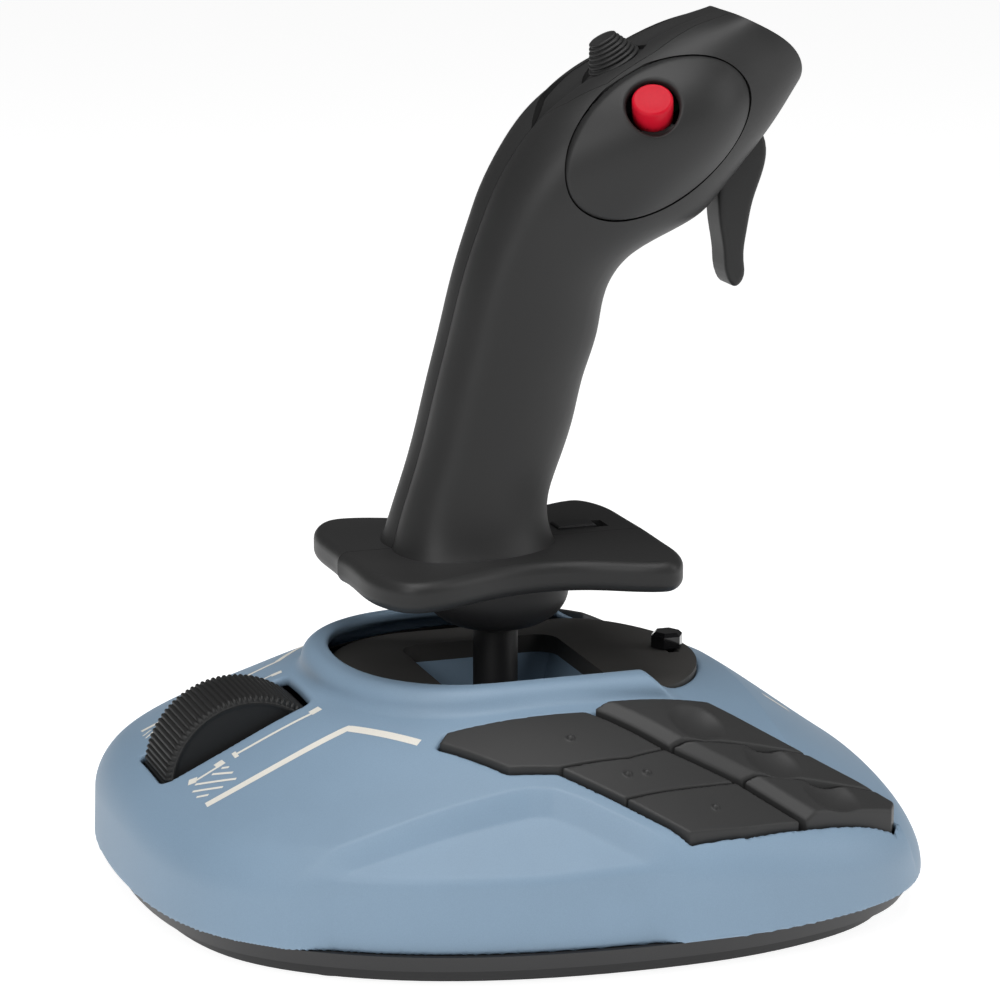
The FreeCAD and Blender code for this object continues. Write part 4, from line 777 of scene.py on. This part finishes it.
def fit_sheet():
    """A smooth sheet through the outer face of the right module's CAD mesh, in mm."""
    mesh = frame["nodes"]["right_module"].data
    points = np.array([v.co for v in mesh.vertices]) / MM
    normals = np.array([v.normal for v in mesh.vertices])
    along, across = oval_place(points[:, 1], points[:, 2])
    gap = np.linalg.norm(np.cross(points - np.array(SIDE_TOP), np.array(SIDE_AXIS)), axis=1)
    kept = (normals[:, 0] > SHEET_FACING) & (gap > SHEET_CLEAR) & (np.hypot(along, across) < SHEET_RIM)
    top = points[:, 0][kept]
    outer = top > np.percentile(top, 5) - SHEET_DROP
    terms = np.stack(sheet_terms(along[kept][outer], across[kept][outer]), 1)
    return np.linalg.lstsq(terms, top[outer], rcond=None)[0]


def make_modules():
    """The oval side shells: nearly flush behind, bulging forward, with the button's recess."""
    found = fit_sheet()
    top, axis = np.array(SIDE_TOP), np.array(SIDE_AXIS)

    def field(x, y, z):
        along, across = oval_place(y, z)
        rho = np.minimum(np.hypot(along, across), RHO_END)
        terms = sheet_terms(*[np.clip(share, -SHEET_END, SHEET_END) for share in (along, across)])
        sheet = sum(k * t for k, t in zip(found, terms))
        swell = OVAL_BULGE * np.maximum(1 - rho ** 2, 0) * (1 + OVAL_FORWARD * along)
        skin = (x - sheet + OVAL_PROUD - swell) * OVAL_SPARE
        rim = (rho - 1) * OVAL_B
        form = round_and(skin, rim, OVAL_EDGE_R)
        px, py, pz = x - top[0], y - top[1], z - top[2]
        run = px * axis[0] + py * axis[1] + pz * axis[2]
        reach = np.sqrt(np.maximum(px * px + py * py + pz * pz - run * run, 0))
        recess = np.maximum(reach - RECESS_R, -run - SIDE_LEN + RECESS_DEPTH)
        form = round_and(form, -recess, RECESS_EDGE_R)
        return np.maximum(form, -skin - OVAL_SKIN)

    reach_y, reach_z = OVAL_A + 1, OVAL_A - 2
    low = (OVAL_X[0], OVAL_AT[0] - reach_y, OVAL_AT[1] - reach_z)
    high = (OVAL_X[1], OVAL_AT[0] + reach_y, OVAL_AT[1] + reach_z)
    points, faces = settled_net(field, low, high, OVAL_STEP)
    piece("right_shell", points, faces, "stick", "grip_plastic", "grip_plastic", "right_module")
    left = points * np.array([-1, 1, 1])
    piece("left_shell", left, faces[:, ::-1], "stick", "grip_plastic", "grip_plastic", "left_module")


SLEEVE_R = 6.1
SLEEVE_TOP = 74.0
DOME_AT = 30.0
DOME_R = 20.0
DOME_FOOT = 36.0
SLEEVE_FLARE = 3.0
SLEEVE_WALL = 1.0
SLEEVE_EDGE = 0.5
DOME_WALL = 1.5


def make_sleeve():
    """The slim sleeve round the shaft, which flares into the dome that closes the well."""
    profile = [(SLEEVE_R - SLEEVE_WALL, SLEEVE_TOP - 0.4), (SLEEVE_R - SLEEVE_EDGE, SLEEVE_TOP)]
    profile.append((SLEEVE_R, SLEEVE_TOP - SLEEVE_EDGE))
    dome = arc((0.0, DOME_AT), DOME_R, 63, 18, 12)
    bend = arc((dome[0][0], dome[0][1] + SLEEVE_FLARE), SLEEVE_FLARE, 180, 250, 6)
    profile += [(SLEEVE_R, DOME_AT + DOME_R + 2)] + bend[3:] + dome
    profile.append((dome[-1][0] - DOME_WALL, DOME_FOOT))
    points, faces = lathe(profile, 96)
    piece("shaft_tube", points, faces, "stick", "black_plastic", "black_plastic", "shaft_sleeve")


# The tongue inside the grip's seams: height range, half-width and depths in the wall
TONGUE_Z = (100.0, 165.0)
TONGUE_STEP = 2.5
TONGUE_HALF_W = 1.0
TONGUE_IN = (1.0, 1.9)
SEAM_SIDE = 0.6


def seam_rows(side):
    """Rows of four points along the front (1) or rear (-1) seam, just under the grip's skin."""
    mesh = frame["nodes"]["grip_right_half"].data
    tree = BVHTree.FromPolygons([v.co for v in mesh.vertices], [p.vertices for p in mesh.polygons])
    rows = []
    for z in np.arange(TONGUE_Z[0], TONGUE_Z[1] + TONGUE_STEP, TONGUE_STEP):
        hit = tree.ray_cast(Vector((SEAM_SIDE, side * FAR, z)) * MM, Vector((0, -side, 0)))[0]
        outer, inner = [hit.y / MM - side * depth for depth in TONGUE_IN]
        for x, y in ((-1, outer), (1, outer), (1, inner), (-1, inner)):
            rows.append((x * TONGUE_HALF_W, y, z))
    return rows


def make_tongue():
    """The tongue that closes the gap between the grip's halves, as in a lapped seam."""
    for name, side in (("front_tongue", 1), ("rear_tongue", -1)):
        points = seam_rows(side)
        last = len(points) - 4
        faces = []
        for i in range(0, last, 4):
            for k in range(4):
                after = (k + 1) % 4
                faces.append((i + k, i + after, i + 4 + after, i + 4 + k))
        faces += [(3, 2, 1, 0), (last, last + 1, last + 2, last + 3)]
        if side < 0:
            faces = [face[::-1] for face in faces]
        piece(name, points, faces, "stick", "grip_plastic", None)


# ---------------------------------------------------------------- trigger

TRIGGER = [
    (75.6, 196), (74.7, 190), (71.9, 182), (70.3, 174), (69.5, 166), (69.2, 160.5),
    (67, 158.8), (64.9, 161), (63.7, 168), (62.4, 176), (61.8, 183.5), (61.6, 192),
    (62.6, 202), (67, 207), (72.4, 203.5),
]
TRIGGER_HALF_W = 5.5
TRIGGER_EDGE_R = 1.4
TRIGGER_STEP = 0.5
TRIGGER_LOW = (-TRIGGER_HALF_W - 1, 60.5, 157.5)
TRIGGER_HIGH = (TRIGGER_HALF_W + 1, 77.0, 208.5)


def trigger_field(x, y, z):
    """The hooked trigger blade with rounded edges."""
    outline = ring_distance(y, z, smooth_ring(TRIGGER, 4))
    return round_and(outline, np.abs(x) - TRIGGER_HALF_W, TRIGGER_EDGE_R)


def make_trigger():
    points, faces = settled_net(trigger_field, TRIGGER_LOW, TRIGGER_HIGH, TRIGGER_STEP)
    piece("trigger_blade", points, faces, "trigger", "grip_plastic", "grip_plastic", "trigger")


# ---------------------------------------------------------------- printed lines

DECAL_LIFT = 0.05
PROBE = 0.1
LEAST_RISE = 0.3
# Half-width in mm and the route of each stroke on the right side
STROKES = [
    (0.50, [(19.1, -78.2), (19.5, -57.6)]),
    (0.55, [(17.5, -78.7), (20.8, -78.6)]),
    (1.25, [(19.1, -58.0), (18.6, -55.2)]),
    (1.15, [(34.8, -90.8), (33.9, -52.2), (50.7, -38)]),
    (1.30, [(19.8, -91.6), (20.6, -89.5)]),
    (0.45, [(20.8, -89.8), (20.2, -83.8)]),
    (1.35, [(19.4, -84.1), (19.1, -81.8)]),
    (0.40, [(21.8, -83.1), (23.3, -81.5)]),
    (0.40, [(22.2, -85.8), (26.8, -81.4)]),
    (0.40, [(22.6, -90.5), (30.4, -81.5)]),
    (0.40, [(25.3, -91.9), (30.8, -85.2)]),
    (0.40, [(28.9, -91.8), (30.8, -89.1)]),
]
HOOD_STROKE = (1.1, [(-17.0, 72.0), (-16.0, 80.0)])


def surface_point(x, y):
    """The point of the cover's top above a place in plan."""
    z = cone_height(x, y)[0]
    for _ in range(6):
        value = outer_field(x, y, z)
        rise = (outer_field(x, y, z + PROBE) - value) / PROBE
        z = z - value / np.maximum(rise, LEAST_RISE)
    return np.stack([x, y, z + DECAL_LIFT], 1)


def strip(route, half_w):
    """A thin band that lies on the cover along a route in plan, mitred at its bends."""
    route = np.asarray(route, float)
    line = []
    for a, b in zip(route, route[1:]):
        n = max(2, int(np.linalg.norm(b - a)))
        line += [a + (b - a) * i / n for i in range(n)]
    line = np.array(line + [route[-1]])
    along = np.gradient(line, axis=0)
    along /= np.linalg.norm(along, axis=1)[:, None]
    side = np.stack([-along[:, 1], along[:, 0]], 1) * half_w
    rows = [line + side * k for k in (-1, 0, 1)]
    points = np.concatenate([surface_point(row[:, 0], row[:, 1]) for row in rows])
    n = len(line)
    starts = [k * n + i for k in (0, 1) for i in range(n - 1)]
    return points, [(at, at + 1, at + n + 1, at + n) for at in starts]


def make_decals():
    """Plain ivory strokes beside the throttle wheel and on the hood, the same on both sides."""
    all_points, all_faces = [], []
    count = 0
    for side in (1, -1):
        for half_w, route in STROKES + [HOOD_STROKE]:
            route = [(side * x, y) for x, y in route]
            points, faces = strip(route, half_w)
            all_points.append(points)
            all_faces += [tuple(count + i for i in face) for face in faces]
            count += len(points)
    piece("printed_lines", np.concatenate(all_points), all_faces, "base", "decal_ivory", None)


# ---------------------------------------------------------------- camera, light and floor

CAMERA_TURN = math.radians(71.13)
CAMERA_PITCH = math.radians(13.41)
CAMERA_AWAY = 1.070
CAMERA_SHIFT = 0.00127
CAMERA_LENS = 142.8
CAMERA_SENSOR = 36.0
AIM = Vector((0, 0, 0.1035))


def make_camera():
    """A long lens that looks at the object from its right and a little above."""
    a, p = CAMERA_TURN, CAMERA_PITCH
    back = Vector((math.sin(a) * math.cos(p), -math.cos(a) * math.cos(p), math.sin(p)))
    right = Vector((math.cos(a), math.sin(a), 0))
    data = bpy.data.cameras.new("camera")
    data.lens = CAMERA_LENS
    data.sensor_width = CAMERA_SENSOR
    made = bpy.data.objects.new("camera", data)
    made.location = AIM + back * CAMERA_AWAY + right * CAMERA_SHIFT
    made.rotation_euler = (math.pi / 2 - p, 0, a)
    bpy.context.scene.collection.objects.link(made)
    bpy.context.scene.camera = made


# Softboxes: direction round and above the object in degrees, distance, width, height, power
LIGHTS = {
    "key": (47, 32, 1.2, 0.7, 0.6, 5.2),
    "right": (158, 25, 1.2, 0.4, 0.9, 3.4),
    "top": (70, 82, 1.2, 0.9, 0.9, 11.0),
}
WORLD_LIGHT = 0.08
FLOOR_SIZE = 12.0
FLOOR_SHADE = 0.40
FLOOR_GLOW = 0.90


def make_light(name, turn, rise, away, width, height, power):
    a, e = math.radians(turn), math.radians(rise)
    back = Vector((math.sin(a) * math.cos(e), -math.cos(a) * math.cos(e), math.sin(e)))
    data = bpy.data.lights.new(name, "AREA")
    data.shape = "RECTANGLE"
    data.size, data.size_y = width, height
    data.energy = power
    made = bpy.data.objects.new(name, data)
    made.location = AIM + back * away
    made.rotation_euler = back.to_track_quat("Z", "Y").to_euler()
    bpy.context.scene.collection.objects.link(made)


def make_world():
    world = bpy.data.worlds.new("studio")
    world.use_nodes = True
    sky = world.node_tree.nodes["Background"]
    sky.inputs["Color"].default_value = (1, 1, 1, 1)
    sky.inputs["Strength"].default_value = WORLD_LIGHT
    bpy.context.scene.world = world
    bpy.context.scene.view_settings.view_transform = "Standard"


def make_floor():
    half = FLOOR_SIZE / 2
    mesh = bpy.data.meshes.new("floor")
    corners = [(-half, -half, 0), (half, -half, 0), (half, half, 0), (-half, half, 0)]
    mesh.from_pydata(corners, [], [(0, 1, 2, 3)])
    made = bpy.data.objects.new("floor", mesh)
    paint = bpy.data.materials.new("floor_white")
    paint.use_nodes = True
    shader = paint.node_tree.nodes["Principled BSDF"]
    shader.inputs["Base Color"].default_value = (FLOOR_SHADE, FLOOR_SHADE, FLOOR_SHADE, 1)
    shader.inputs["Roughness"].default_value = 0.9
    shader.inputs["Emission Color"].default_value = (1, 1, 1, 1)
    shader.inputs["Emission Strength"].default_value = FLOOR_GLOW
    mesh.materials.append(paint)
    bpy.context.scene.collection.objects.link(made)


finish_nodes()
make_cover()
make_caps()
make_wheel()
make_hat()
make_side_buttons()
make_modules()
make_sleeve()
make_tongue()
make_trigger()
make_decals()
make_camera()
make_world()
make_floor()
for light, place in LIGHTS.items():
    make_light(light, *place)
